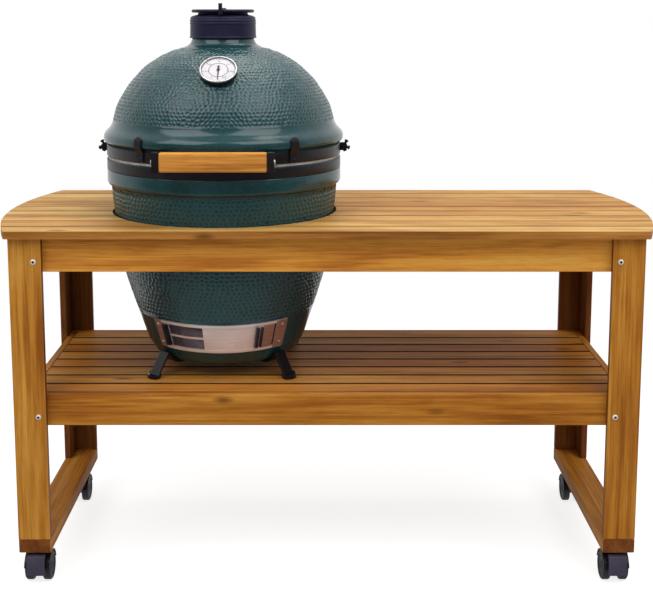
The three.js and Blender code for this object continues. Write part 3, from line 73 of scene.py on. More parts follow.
lens = bpy.data.cameras.new("camera")
lens.lens = CAMERA_LENS
lens.shift_x, lens.shift_y = CAMERA_SHIFT
camera = bpy.data.objects.new("camera", lens)
camera.location = CAMERA_PLACE
camera.rotation_euler = [math.radians(a) for a in CAMERA_TILT]
scene.collection.objects.link(camera)
scene.camera = camera
print("camera at", CAMERA_PLACE, "lens", CAMERA_LENS)

# %% [markdown]
# ## Shapes in millimetres
# A workshop drawing is in millimetres, so the shapes here are too. A Shape holds corners and faces, can be
# moved, and can be added to another. Only when it is kept does it become a Blender mesh in metres. Blender's
# own primitives would do as well, but a handful of plain functions reads like the drawing.

# %% Shape
MM = 0.001
MERGE = 1e-6  # metres; corners closer than this are one


class Shape:
    """Corners in millimetres, and faces that name them by number."""

    def __init__(self, corners=(), faces=()):
        self.corners = [Vector(c) for c in corners]
        self.faces = [tuple(f) for f in faces]

    def __add__(self, other):
        start = len(self.corners)
        faces = [tuple(i + start for i in face) for face in other.faces]
        return Shape(self.corners + other.corners, self.faces + faces)

    def moved(self, matrix):
        return Shape([matrix @ c for c in self.corners], self.faces)

    def at(self, x=0, y=0, z=0):
        return self.moved(Matrix.Translation((x, y, z)))

    def spun(self, degrees, axis="Z"):
        return self.moved(Matrix.Rotation(math.radians(degrees), 4, axis))


print("a shape can be moved, turned and added to another")

# %% [markdown]
# Three ways of making a solid from an outline serve nearly every piece here: pull it straight, spin it
# round Z, or sweep it part of the way round. The first is a saw's cut, the second a lathe's or a potter's
# wheel's work, and the third is a strip of sheet bent round the kettle.

# %% Solids from outlines
def rect(near, far, low, high):
    """An outline with four corners."""
    return [(near, low), (far, low), (far, high), (near, high)]


def circle(radius, count, height=0.0, turn=0.0):
    """An outline with count corners on a circle; turn moves them on by a share of one step."""
    angles = [math.tau * (i + turn) / count for i in range(count)]
    return [(radius * math.cos(a), height + radius * math.sin(a)) for a in angles]


def block(low, high):
    """A box between two corners."""
    return prism(rect(low[0], high[0], low[1], high[1]), low[2], high[2])


def prism(outline, low, high, axis="Z"):
    """An outline pulled from low to high along an axis; along X the outline holds y and z."""
    count = len(outline)
    turn = {"Z": Matrix.Identity(3), "X": Matrix(((0, 0, 1), (1, 0, 0), (0, 1, 0)))}[axis]
    corners = [turn @ Vector((a, b, level)) for level in (low, high) for a, b in outline]
    sides = [(i, (i + 1) % count, count + (i + 1) % count, count + i) for i in range(count)]
    return Shape(corners, sides + [range(count)[::-1], range(count, 2 * count)])


def turned(outline, columns=96):
    """A round piece about Z from [radius, height] points; an outline off the axis closes on itself."""
    corners, rings = [], []
    for radius, height in outline:
        count = 1 if radius < 1e-6 else columns
        rings.append(range(len(corners), len(corners) + count))
        for i in range(count):
            angle = math.tau * i / columns
            corners.append((radius * math.sin(angle), -radius * math.cos(angle), height))
    pairs = list(zip(rings, rings[1:]))
    if len(rings[0]) > 1 and len(rings[-1]) > 1:
        pairs.append((rings[-1], rings[0]))
    faces = []
    for a, b in pairs:
        for i in range(columns):
            j = (i + 1) % columns
            ring = [a[i % len(a)], a[j % len(a)], b[j % len(b)], b[i % len(b)]]
            face = [c for k, c in enumerate(ring) if c not in ring[:k]]
            if len(face) > 2:
                faces.append(face)
    return Shape(corners, faces)


def bent(section, start, end, steps):
    """A [radius, height] section swept round Z; angles run from the front towards the right."""
    corners, faces = [], []
    count = len(section)
    for i in range(steps + 1):
        angle = math.radians(start + (end - start) * i / steps)
        corners += [(r * math.sin(angle), -r * math.cos(angle), h) for r, h in section]
    for i in range(steps):
        for j in range(count):
            k = (j + 1) % count
            faces.append((i * count + j, (i + 1) * count + j, (i + 1) * count + k, i * count + k))
    return Shape(corners, faces + [range(count)[::-1], range(steps * count, (steps + 1) * count)])


print("solids: block, prism, turned, bent; outlines: rect, circle")

# %% Softer outlines
def rounded(outline, radius, steps=4, closed=True):
    """A 2-D outline with its corners rounded."""
    points = [Vector(p) for p in outline]
    result = []
    for i, corner in enumerate(points):
        if not closed and i in (0, len(points) - 1):
            result.append(tuple(corner))
            continue
        before, after = points[i - 1] - corner, points[(i + 1) % len(points)] - corner
        reach = min(radius, before.length * 0.49, after.length * 0.49)
        start, end = corner + before.normalized() * reach, corner + after.normalized() * reach
        for k in range(steps + 1):
            t = k / steps
            result.append(tuple(start * (1 - t) ** 2 + corner * 2 * t * (1 - t) + end * t**2))
    return result


def smooth_line(points, spacing):
    """Points along a smooth curve through the points given, about as far apart as spacing."""
    path = [Vector(p) for p in points]
    ends = [path[0] * 2 - path[1], *path, path[-1] * 2 - path[-2]]
    result = []
    for a, b, c, d in zip(ends, ends[1:], ends[2:], ends[3:]):
        steps = max(1, round((c - b).length / spacing))
        for k in range(steps):
            t = k / steps
            cubic = 2 * b + (c - a) * t + (2 * a - 5 * b + 4 * c - d) * t**2 + (3 * b - a - 3 * c + d) * t**3
            result.append(tuple(cubic / 2))
    return result + [tuple(path[-1])]


print("outlines: rounded, smooth_line")

# %% [markdown]
# ## Keeping a piece
# A kept piece is one mesh whose object stands at the origin, with its place in its corners. Its sharp edges
# get a small bevel, because no sawn, cast or pressed edge is truly sharp, and the bevel catches the light.
# The piece then takes over from its plain solids and rides on the same moving body.

# %% Keep
def keep(name, shape, edge=0.0, segments=2, smooth=35):
    """Makes a mesh object of a shape; edge is the bevel's width in millimetres."""
    mesh = bpy.data.meshes.new(name)
    mesh.from_pydata([c * MM for c in shape.corners], [], shape.faces)
    body = bmesh.new()
    body.from_mesh(mesh)
    bmesh.ops.remove_doubles(body, verts=body.verts, dist=MERGE)
    bmesh.ops.recalc_face_normals(body, faces=body.faces)
    body.to_mesh(mesh)
    body.free()
    return keep_mesh(name, mesh, edge, segments, smooth)


def keep_mesh(name, mesh, edge=0.0, segments=2, smooth=35):
    """Makes an object of a mesh; edges sharper than smooth degrees stay sharp and get the bevel."""
    mesh.shade_smooth()
    mesh.set_sharp_from_angle(angle=math.radians(smooth))
    piece = bpy.data.objects.new(name, mesh)
    scene.collection.objects.link(piece)
    if edge:
        bevel = piece.modifiers.new("edges", "BEVEL")
        bevel.width = edge * MM
        bevel.segments = segments
        bevel.limit_method = "ANGLE"
        bevel.angle_limit = math.radians(smooth)
        bevel.harden_normals = True
    return piece


print("helpers: keep, keep_mesh")

# %% Settle and dress
def settle(piece, material, nodes, *more_materials):
    """The piece stands for its nodes, rides on their body and takes the finish given."""
    nodes = [nodes] if isinstance(nodes, str) else nodes
    dress(piece, material, body_of_node[nodes[0]], slot_of_node[nodes[0]], *more_materials)
    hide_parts(*nodes)
    return piece


def dress(piece, material, body, slot, *more_materials):
    """The piece gets its finish and rides on a body; what a tree has painted stays."""
    if not any(piece.data.materials):
        numbers = [face.material_index for face in piece.data.polygons]
        piece.data.materials.clear()
        for each in (material, *more_materials):
            piece.data.materials.append(each)
        piece.data.polygons.foreach_set("material_index", numbers)
    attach(piece, body)
    return piece


def copied(node, edge=0.0, segments=2, smooth=35):
    """A finer piece from a node's own solid: loose triangles merged into whole faces, then bevelled."""
    mesh = frame["nodes"][node].data.copy()
    body = bmesh.new()
    body.from_mesh(mesh)
    bmesh.ops.remove_doubles(body, verts=body.verts, dist=1e-5)
    bmesh.ops.dissolve_limit(body, angle_limit=math.radians(0.5), verts=body.verts, edges=body.edges)
    body.to_mesh(mesh)
    body.free()
    mesh.materials.clear()
    return keep_mesh(f"{node}_fine", mesh, edge, segments, smooth)


print("helpers: settle, dress, copied")

# %% [markdown]
# ## Node trees in a few words
# Geometry Nodes and materials are both trees of nodes. One helper adds a node, fills its inputs with numbers
# or links, and returns it. For geometry, a second helper runs the tree on a start mesh and keeps the result
# as a plain mesh, since instances and live modifiers would not survive an export.

# %% Trees
FLOAT, INT, VECTOR = "NodeSocketFloat", "NodeSocketInt", "NodeSocketVector"
OBJECT, MATERIAL, GEOMETRY = "NodeSocketObject", "NodeSocketMaterial", "NodeSocketGeometry"


def fill(tree, node, inputs):
    """Sets a node's inputs; a value is a number, a colour, another node or one of its outputs."""
    for key, value in inputs.items():
        socket = node.inputs[key]
        for each in value if isinstance(value, list) else [value]:
            if isinstance(each, bpy.types.Node):
                each = next(s for s in each.outputs if s.enabled)
            if isinstance(each, bpy.types.NodeSocket):
                tree.links.new(each, socket)
            else:
                socket.default_value = each
    return node


def put(tree, kind, inputs=None, **settings):
    """Adds a node with its settings and inputs."""
    node = tree.nodes.new(kind)
    for key, value in settings.items():
        setattr(node, key, value)
    return fill(tree, node, inputs or {})


def calc(tree, operation, *values):
    """A Math node."""
    return put(tree, "ShaderNodeMath", dict(enumerate(values)), operation=operation)


def new_tree(name, **inputs):
    """A geometry tree with named inputs; returns it and what is given to it."""
    tree = bpy.data.node_groups.new(name, "GeometryNodeTree")
    tree.interface.new_socket("Geometry", in_out="INPUT", socket_type=GEOMETRY)
    for key, kind in inputs.items():
        tree.interface.new_socket(key.replace("_", " "), in_out="INPUT", socket_type=kind)
    tree.interface.new_socket("Geometry", in_out="OUTPUT", socket_type=GEOMETRY)
    return tree, put(tree, "NodeGroupInput").outputs


print("node helpers: fill, put, calc, new_tree")

# %% [markdown]
# Nearly every tree lays copies, joins, moves or cuts. Each of these steps is one node with a short name here,
# so a tree reads as what is done to the piece.

# %% Steps that trees share
def cylinder(tree, sides, radius, depth):
    """A closed cylinder along Z."""
    return put(tree, "GeometryNodeMeshCylinder", {"Vertices": sides, "Radius": radius, "Depth": depth},
               fill_type="NGON")


def transformed(tree, geometry, **inputs):
    """Geometry moved or turned."""
    return put(tree, "GeometryNodeTransform", {"Geometry": geometry, **inputs})


def joined(tree, *parts):
    """Several geometries as one."""
    return put(tree, "GeometryNodeJoinGeometry", {"Geometry": list(parts)})


def copies(tree, points, instance, **inputs):
    """A copy of an instance on each point."""
    return put(tree, "GeometryNodeInstanceOnPoints", {"Points": points, "Instance": instance, **inputs})


def vector(tree, x=0.0, y=0.0, z=0.0):
    """Three numbers as a place or a scale."""
    return put(tree, "ShaderNodeCombineXYZ", {"X": x, "Y": y, "Z": z})


def cut_out(tree, blank, cutter):
    """The blank without what the cutter covers."""
    return put(tree, "GeometryNodeMeshBoolean", {"Mesh 1": blank, "Mesh 2": cutter}, operation="DIFFERENCE")


def realized(tree, instances):
    """Copies turned into one real mesh."""
    return put(tree, "GeometryNodeRealizeInstances", {"Geometry": instances})


def close_tree(tree, given, geometry):
    """Ends a tree in Realize Instances and Set Material."""
    real = realized(tree, geometry)
    painted = put(tree, "GeometryNodeSetMaterial", {"Geometry": real, "Material": given["Material"]})
    put(tree, "NodeGroupOutput", {"Geometry": painted})


print("tree steps: cylinder, transformed, joined, copies, vector, cut_out, realized, close_tree")

# %% Grow
def grown(name, tree, start=None, edge=0.0, segments=2, smooth=35, **inputs):
    """Runs a tree on a start mesh and keeps the result as a plain mesh object."""
    seed = bpy.data.objects.new(name + "_seed", start or bpy.data.meshes.new(name + "_seed"))
    modifier = seed.modifiers.new("tree", "NODES")
    modifier.node_group = tree
    sockets = {s.name: s.identifier for s in tree.interface.items_tree if s.in_out == "INPUT"}
    for key, value in inputs.items():
        modifier[sockets[key.replace("_", " ")]] = value
    scene.collection.objects.link(seed)
    graph = bpy.context.evaluated_depsgraph_get()
    mesh = bpy.data.meshes.new_from_object(seed.evaluated_get(graph))
    seed.modifiers.remove(modifier)
    bpy.data.objects.remove(seed)
    mesh.name = name
    print(f"{name}: {len(mesh.polygons)} faces")
    return keep_mesh(name, mesh, edge, segments, smooth)


def spots(name, places):
    """A mesh of loose points for a tree, each with the way that it faces."""
    mesh = bpy.data.meshes.new(name)
    mesh.from_pydata([Vector(place) * MM for place, _ in places], [], [])
    facing = mesh.attributes.new("facing", "FLOAT_VECTOR", "POINT")
    facing.data.foreach_set("vector", [x for _, way in places for x in Vector(way)])
    return mesh


print("node helpers: grown, spots")

# %% [markdown]
# ## Finishes: the wood
# The table is an oiled orange hardwood. Each board was cut from another place in the log, so its grain and
# tone differ from its neighbour's. The boards carry an attribute, grain, which is the place in the log in
# metres with X along the fibres, and another, tone. The material stretches its noise along that X. A material
# on object coordinates alone would run the grain one way through boards that lie three ways.

# %% Material helpers
def shader(name, **settings):
    """A material with a Principled shader; settings name its own sockets."""
    material = bpy.data.materials.new(name)
    material.use_nodes = True
    tree = material.node_tree
    surface = next(n for n in tree.nodes if n.type == "BSDF_PRINCIPLED")
    for key, value in settings.items():
        surface.inputs[key.replace("_", " ")].default_value = value
    return material, tree, surface


def ramp(tree, value, *stops):
    """A colour ramp from (place, colour) stops; a colour may be a single grey."""
    node = put(tree, "ShaderNodeValToRGB", {"Fac": value})
    elements = node.color_ramp.elements
    while len(elements) < len(stops):
        elements.new(0.5)
    for element, (place, colour) in zip(elements, stops):
        element.position = place
        colour = (colour,) * 3 if isinstance(colour, (int, float)) else colour
        element.color = (*colour, 1)
    return node


def noise(tree, vector, scale, detail=3.0, **inputs):
    """A cloudy pattern from 0 to 1."""
    values = {"Vector": vector, "Scale": scale, "Detail": detail, **inputs}
    return put(tree, "ShaderNodeTexNoise", values).outputs["Fac"]


def stretched(tree, vector, scale):
    """The place with each axis squeezed by its own scale, which stretches the pattern that reads it."""
    return put(tree, "ShaderNodeMapping", {"Vector": vector, "Scale": scale})


def mixed(tree, factor, first, second, blend="MIX"):
    """Two colours mixed; each is red, green and blue, or a node."""
    a, b = ((*colour, 1) if isinstance(colour, tuple) else colour for colour in (first, second))
    node = put(tree, "ShaderNodeMix", {0: factor, 6: a, 7: b}, data_type="RGBA", blend_type=blend)
    return node.outputs[2]


def graded(tree, value, span, result=(0.0, 1.0), **settings):
    """A value that runs over span, made to run over result instead."""
    return put(tree, "ShaderNodeMapRange", {
        "Value": value, "From Min": span[0], "From Max": span[1], "To Min": result[0], "To Max": result[1]}, **settings)


def relief(tree, surface, height, distance, strength=1.0):
    """Gives a surface a fine relief, in metres."""
    bump = put(tree, "ShaderNodeBump", {"Height": height, "Distance": distance, "Strength": strength})
    fill(tree, surface, {"Normal": bump})


print("material helpers: shader, ramp, noise, stretched, mixed, graded, relief")

# %% Wood
RUDDY_TINT = (0.86, 0.65, 0.50)  # what the reddest board's colour is multiplied by
KNOT_SHADE = 0.45  # a knot's colour as a share of the darkest wood
PORE_SHARE = 0.25
FIGURE = (  # squeeze along and across the fibres, detail, distortion, share
    ((1.0, 13, 13), 3.0, 1.4, 0.34),  # broad figure
    ((1.6, 60, 60), 3.0, 0.0, 0.24),  # streaks
    ((6.0, 170, 170), 2.0, 0.0, 0.20),
    ((6.0, 9, 9), 3.0, 0.0, 0.16),  # slow clouds
    ((9, 420, 420), 3.0, 0.0, 0.16))  # fibres


def wood(name, pale, middle, dark, sheen=0.15):
    """Oiled hardwood: broad figure, streaks, slow clouds and a few knots, all stretched along the grain."""
    material, tree, surface = shader(name, Specular_IOR_Level=sheen)
    grain = put(tree, "ShaderNodeAttribute", attribute_name="grain").outputs["Vector"]
    tone = put(tree, "ShaderNodeAttribute", attribute_name="tone").outputs["Fac"]
    shade = 0.0
    for squeeze, detail, distortion, share in FIGURE:
        fibres = noise(tree, stretched(tree, grain, squeeze), 1.0, detail, Distortion=distortion)
        shade = calc(tree, "MULTIPLY_ADD", fibres, share, shade)
    colour = ramp(tree, shade, (0.44, dark), (0.545, middle), (0.65, pale))
    ruddy = mixed(tree, 1.0, colour, RUDDY_TINT, "MULTIPLY")
    toned = mixed(tree, tone, colour, ruddy)
    knots = put(tree, "ShaderNodeTexVoronoi", {"Vector": stretched(tree, grain, (4.2, 12, 12)), "Scale": 1.0})
    knot = ramp(tree, knots.outputs["Distance"], (0.04, 0.8), (0.13, 0.0))
    knotted = mixed(tree, knot, toned, tuple(c * KNOT_SHADE for c in dark))
    pores = ramp(tree, noise(tree, stretched(tree, grain, (26, 1300, 1300)), 1.0, 1.0), (0.3, 0.0), (0.42, 1.0))
    final = mixed(tree, PORE_SHARE, knotted, pores, "MULTIPLY")
    fill(tree, surface, {"Base Color": final, "Roughness": graded(tree, fibres, (0, 1), (0.42, 0.62))})
    relief(tree, surface, calc(tree, "ADD", fibres, pores), 0.0001)
    return material


# Each wood has a pale, a middle and a dark tone, and how strongly it mirrors.
# The worktop's wood is paler than the frame's, partly by a painted sheen: the bright room mirrored in the oiled tops.
top_wood_with_painted_sheen = wood("oiled worktop wood", (0.80, 0.55, 0.195), (0.60, 0.355, 0.104), (0.36, 0.165, 0.038), 0.1)
edge_wood = wood("oiled worktop edge wood", (0.56, 0.27, 0.065), (0.43, 0.185, 0.038), (0.24, 0.085, 0.014), 0.1)
frame_wood = wood("oiled frame wood", (0.67, 0.335, 0.063), (0.51, 0.209, 0.0275), (0.30, 0.098, 0.012), 0.08)
# Painted light: the top rails' wood is brighter than the frame's, to make up for the shade under the worktop's
# overhang.
rail_wood_painted_light = wood("oiled rail wood", (0.95, 0.62, 0.145), (0.90, 0.48, 0.082), (0.59, 0.245, 0.036))
shelf_wood = wood("oiled shelf wood", (0.72, 0.350, 0.074), (0.555, 0.240, 0.038), (0.33, 0.118, 0.0145), 0.06)
# Painted shade: the inner sides of the legs' L are darkened in their colour, since little light reaches them.
inner_leg_shade_wood = wood("dark inner leg wood", (0.26, 0.105, 0.024), (0.17, 0.060, 0.012), (0.09, 0.028, 0.005), 0.05)
handle_wood = wood("oiled handle wood", (0.84, 0.41, 0.090), (0.66, 0.275, 0.047), (0.40, 0.135, 0.020))
# End grain is darker in itself. On the legs this wood is painted shade on the board edges and the margin beside the L's
# opening.
end_grain_and_edge_shade_wood = wood("oiled end grain", (0.26, 0.090, 0.016), (0.19, 0.058, 0.009), (0.11, 0.030, 0.005))
# Painted shade: the near-black wood on slat edges and on the sides across the gaps.
shadow_wood = wood("dark slat edge wood", (0.060, 0.024, 0.008), (0.036, 0.013, 0.004), (0.018, 0.006, 0.002))
print("wood finishes: worktop, frame, rail, shelf, inner leg, handle, end grain, slat edges")

# %% [markdown]
# ## Finishes: the glaze
# The kettle is dipped in a deep green glaze that pools in the dimples and runs thin on the ridges between
# them, so the ridges look paler. The dimples are real relief in the mesh, made further on, which also writes
# the attribute pooled: 1 where the glaze lies deep. The material tints by it, with slow clouds of colour. A
# thin clear coat puts a small sharp light on each dimple, as the glass skin of a fired glaze does.

# %% Glaze
GLAZE_DEEP = (0.005, 0.032, 0.038)
GLAZE_MIDDLE = (0.012, 0.058, 0.066)
GLAZE_RIDGE = (0.038, 0.114, 0.117)
RIDGE_SHARE = 0.34  # how much of the ridges' pale green shows where the glaze is thin

glaze, tree, surface = shader("deep green glaze", Roughness=0.18, IOR=1.46, Coat_Weight=0.1, Coat_Roughness=0.05)
place = put(tree, "ShaderNodeTexCoord").outputs["Object"]
pooled = put(tree, "ShaderNodeAttribute", attribute_name="pooled").outputs["Fac"]
clouds = noise(tree, place, 7.0, 4.0, Distortion=0.8)
speckle = noise(tree, place, 150.0, 3.0)
level = calc(tree, "ADD", calc(tree, "MULTIPLY", clouds, 0.6), calc(tree, "MULTIPLY", speckle, 0.4))
body_colour = ramp(tree, level, (0.38, GLAZE_DEEP), (0.6, GLAZE_MIDDLE))
thin = calc(tree, "MULTIPLY_ADD", pooled, -RIDGE_SHARE, RIDGE_SHARE)
fill(tree, surface, {"Base Color": mixed(tree, thin, body_colour, GLAZE_RIDGE)})
relief(tree, surface, noise(tree, place, 110.0, 2.0), 0.0006, 0.25)
print("glaze: three greens under a clear coat")

# %% [markdown]
# ## Finishes: metals, plastics, clay and felt
# Powder-coated steel has a fine orange peel. Brushed steel has scratches that run round the kettle, so its
# noise is squeezed along Z. Cast iron is rough with a violet tint from heat. Each finish keeps one idea of
# colour and one of relief: more layers would not show at this size.

# %% Metals and the rest
def peel(name, dark, light, rough, scale, depth, metal=0.0, spread=0.12, **settings):
    """A finish with a soft colour change, uneven gloss and a fine relief."""
    material, tree, surface = shader(name, Metallic=metal, **settings)
    place = put(tree, "ShaderNodeTexCoord").outputs["Object"]
    slow = noise(tree, place, 14.0, 4.0)
    fine = noise(tree, place, scale, 2.0)
    blend = calc(tree, "ADD", calc(tree, "MULTIPLY", slow, 0.6), calc(tree, "MULTIPLY", fine, 0.4))
    colour = ramp(tree, blend, (0.36, dark), (0.62, light))
    gloss = graded(tree, slow, (0, 1), (rough - spread / 2, rough + spread))
    fill(tree, surface, {"Base Color": colour, "Roughness": gloss})
    relief(tree, surface, fine, depth)
    return material


def brushed(name, dark, light, rough, scale, metal=1.0):
    """Steel whose scratches run across the axis that the scale squeezes most."""
    material, tree, surface = shader(name, Metallic=metal)
    place = put(tree, "ShaderNodeTexCoord").outputs["Object"]
    lines = noise(tree, stretched(tree, place, scale), 1.0, 3.0)
    slow = noise(tree, place, 18.0, 3.0)
    blend = calc(tree, "ADD", calc(tree, "MULTIPLY", lines, 0.7), calc(tree, "MULTIPLY", slow, 0.3))
    colour = ramp(tree, blend, (0.33, dark), (0.66, light))
    gloss = graded(tree, lines, (0, 1), (rough - 0.06, rough + 0.1))
    fill(tree, surface, {"Base Color": colour, "Roughness": gloss})
    relief(tree, surface, lines, 0.00008, 0.5)
    return material


black_steel = peel("black powder coat", (0.007, 0.005, 0.007), (0.018, 0.013, 0.017), 0.30, 900, 0.00006,
                   Specular_IOR_Level=0.25)
iron = peel("cast iron", (0.012, 0.012, 0.024), (0.030, 0.026, 0.040), 0.45, 500, 0.00015, Specular_IOR_Level=0.5)
gloss_black = peel("glossy black enamel", (0.004, 0.004, 0.006), (0.010, 0.009, 0.013), 0.14, 300, 0.00004,
                   Specular_IOR_Level=0.3)
cap_iron = peel("painted vent iron", (0.008, 0.009, 0.032), (0.017, 0.015, 0.044), 0.4, 700, 0.0001,
                Specular_IOR_Level=0.2)
bolt_zinc = peel("bright zinc plate", (0.74, 0.70, 0.64), (0.88, 0.84, 0.78), 0.4, 700, 0.00003, metal=0.3)
zinc = peel("zinc plate", (0.38, 0.36, 0.35), (0.60, 0.58, 0.56), 0.32, 700, 0.00003, metal=1.0)
hood_plastic = peel("black caster plastic", (0.004, 0.004, 0.009), (0.010, 0.010, 0.021), 0.35, 1200, 0.00004,
                    Specular_IOR_Level=0.4)
pedal_plastic = peel("violet pedal plastic", (0.034, 0.026, 0.052), (0.066, 0.052, 0.092), 0.42, 1200, 0.00004)
tread = peel("dark wheel tread", (0.008, 0.008, 0.013), (0.019, 0.019, 0.028), 0.55, 900, 0.00008)
fire_clay = peel("fire clay", (0.42, 0.32, 0.21), (0.62, 0.52, 0.38), 0.85, 260, 0.0006)
felt = peel("felt", (0.50, 0.47, 0.42), (0.74, 0.72, 0.68), 0.95, 1500, 0.0006)
enamel = peel("white dial enamel", (0.60, 0.57, 0.60), (0.68, 0.65, 0.68), 0.4, 300, 0.00001, spread=0.05)
ink = peel("black dial ink", (0.012, 0.012, 0.014), (0.03, 0.03, 0.034), 0.5, 900, 0.00001)
steel = brushed("brushed door steel", (0.66, 0.50, 0.46), (0.96, 0.83, 0.79), 0.34, (26, 26, 1500), 0.45)
bronze = brushed("heat-tinted frame steel", (0.26, 0.155, 0.130), (0.48, 0.31, 0.27), 0.32, (26, 26, 1500), 0.6)
lip_steel = brushed("bright lip steel", (0.66, 0.56, 0.53), (0.90, 0.82, 0.79), 0.3, (26, 26, 1500), 0.5)
bright = brushed("bright bezel steel", (0.62, 0.60, 0.58), (0.86, 0.84, 0.82), 0.18, (300, 300, 300))
mesh_steel = brushed("dark mesh steel", (0.110, 0.088, 0.110), (0.22, 0.180, 0.215), 0.4, (300, 300, 300))
print("finishes:", len(bpy.data.materials))

# %% [markdown]
# ## Boards
# The legs are two boards glued to an L, and the rails stand one board behind the legs' faces. A board is a box
# with eased edges. What makes it wood is its grain attribute: each loose part of a mesh is one board, its
# longest side is the way that its fibres run, and a random place in the log sets its pattern.

# %% Grain
EASE = 2.2  # the rounding of a board's edges
logs = random.Random(7)


def parts_of(mesh):
    """The mesh's loose parts, as lists of vertex numbers."""
    links = [[] for _ in mesh.vertices]
    for edge in mesh.edges:
        a, b = edge.vertices
        links[a].append(b)
        links[b].append(a)
    seen, parts = set(), []
    for start in range(len(links)):
        if start in seen:
            continue
        part, queue = [], [start]
        seen.add(start)
        while queue:
            here = queue.pop()
            part.append(here)
            fresh = [n for n in links[here] if n not in seen]
            seen.update(fresh)
            queue += fresh
        parts.append(part)
    return parts


def lay_grain(piece):
    """Gives every board of the piece its place in the log and its tone."""
    mesh = piece.data
    places_in_log, tones = [0.0] * 3 * len(mesh.vertices), [0.0] * len(mesh.vertices)
    for part in parts_of(mesh):
        places = [mesh.vertices[i].co for i in part]
        spans = [max(p[k] for p in places) - min(p[k] for p in places) for k in range(3)]
        long_way = spans.index(max(spans))
        across = [k for k in range(3) if k != long_way]
        log = Vector(logs.uniform(0, 9) for _ in range(3))
        shade = logs.uniform(0, 1)
        for i in part:
            p = mesh.vertices[i].co
            places_in_log[3 * i:3 * i + 3] = Vector((p[long_way], p[across[0]], p[across[1]])) + log
            tones[i] = shade
    mesh.attributes.new("grain", "FLOAT_VECTOR", "POINT").data.foreach_set("vector", places_in_log)
    mesh.attributes.new("tone", "FLOAT", "POINT").data.foreach_set("value", tones)
    return piece


print("grain: each board has its own place in the log")

# %% [markdown]
# The legs first. Little light comes into a leg's L, so its shade is painted in: the two inner sides take a
# darker wood, and the boards' edges and a narrow margin beside the opening take a less dark one. The faces
# are picked by where they lie and which way they look, which is quicker than painting them by hand.

# %% Legs
def node_block(node):
    """A box as large as a node."""
    low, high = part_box(node)
    return block(low / MM, high / MM)


def by_face(piece, choose):
    """Each face takes the finish whose number choose gives for it."""
    for face in piece.data.polygons:
        face.material_index = choose(face)
    return piece


BOARD = 16.0  # the leg boards' thickness
EDGE_STRIP = 15.0  # the margin on the inner side of a leg's face board
INNER_MARGIN = BOARD * 0.55  # a face nearer than this to the leg's outside is an edge or the margin
HAIR = 0.001  # keeps the corners of two boards that touch apart


def faces_inside(face, node):
    """The two inner sides of a leg's L, but not its edges and margin."""
    low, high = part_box(node)
    margin = INNER_MARGIN * MM
    x, y = face.center.x, face.center.y
    return low.x + margin < x < high.x - margin and (low.y + margin < y < high.y - margin)


for node in [n for n in frame["nodes"] if n.startswith("leg_")]:
    low, high = (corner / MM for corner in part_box(node))
    front, left = "front" in node, "left" in node
    face_y = (low.y, low.y + BOARD) if front else (high.y - BOARD, high.y)
    side_y = (low.y + BOARD, high.y) if front else (low.y, high.y - BOARD)
    side_x = (low.x, low.x + BOARD) if left else (high.x - BOARD, high.x)
    outline = rect(low.x, high.x, *face_y)
    strip = high.x - EDGE_STRIP if left else low.x + EDGE_STRIP
    outline.insert(3 if front else 1, (strip, face_y[1] if front else face_y[0]))
    face_board = prism(outline, low.z, high.z)
    side_board = block((side_x[0], side_y[0], low.z), (side_x[1], side_y[1], high.z))
    leg = keep(node + "_boards", face_board + side_board.at(z=HAIR), EASE, 3)
    inward = Vector((1 if left else -1, 1 if front else -1, 0))
    # Painted shade: faces that look into the L take finish 1 inside it, and finish 2 at its edges and margin.
    by_face(leg, lambda face: (1 if faces_inside(face, node) else 2) if face.normal.dot(inward) > 0.5 else 0)
    settle(lay_grain(leg), frame_wood, node, inner_leg_shade_wood, end_grain_and_edge_shade_wood)
print("legs: 4, of two boards each")

# %% Rails and foot boards
for node in [n for n in frame["nodes"] if "_rail_" in n or n.startswith("foot_board")]:
    rail = by_face(keep(node + "_board", node_block(node), EASE, 3), lambda face: int(abs(face.normal.y) > 0.9))
    upper, foot = node.startswith("top_rail"), node.startswith("foot_board")
    # The top rails take the brighter wood, painted light against the worktop's shade.
    side = rail_wood_painted_light if upper else frame_wood
    settle(lay_grain(rail), side, node, end_grain_and_edge_shade_wood if foot else side)
print("rails: 8, foot boards: 2")

# %% [markdown]
# ## Slats
# The worktop is nine slats and the shelf eight, each a copy of one board a fixed pitch from the next. One tree
# lays copies of a box in a row. A second tree saws the worktop: its ends follow two large circles and the
# kettle's hole is a third. Sawing after laying gives every slat its true slanted end, as a router does.

# %% Slat trees
CUTTER = 0.1  # metres; a cutter deeper than the worktop is thick
row_tree, given = new_tree("boards in a row", Count=INT, Size=VECTOR, Start=VECTOR, Step=VECTOR, Material=MATERIAL)
line = put(row_tree, "GeometryNodeMeshLine", {
    "Count": given["Count"], "Start Location": given["Start"],
    "Offset": given["Step"]}, mode="OFFSET")
board = put(row_tree, "GeometryNodeMeshCube", {"Size": given["Size"]})
close_tree(row_tree, given, joined(row_tree, copies(row_tree, line, board), given["Geometry"]))

saw_tree, given = new_tree(
    "worktop sawn round", Bow_radius=FLOAT, Half_length=FLOAT, Height=FLOAT, Hole_radius=FLOAT, Hole_place=VECTOR,
    Material=MATERIAL)
reach = calc(saw_tree, "SUBTRACT", given["Bow radius"], given["Half length"])
bowed = given["Geometry"]
for sign in (-1, 1):
    drum = cylinder(saw_tree, 512, given["Bow radius"], CUTTER)
    middle = vector(saw_tree, calc(saw_tree, "MULTIPLY", reach, sign), z=given["Height"])
    placed = transformed(saw_tree, drum, Translation=middle)
    bowed = put(saw_tree, "GeometryNodeMeshBoolean", {"Mesh 2": [bowed, placed]}, operation="INTERSECT")
hole = cylinder(saw_tree, 192, given["Hole radius"], CUTTER)
centred = transformed(saw_tree, hole, Translation=given["Hole place"])
close_tree(saw_tree, given, cut_out(saw_tree, bowed, centred))
print("trees: boards in a row, worktop sawn round")
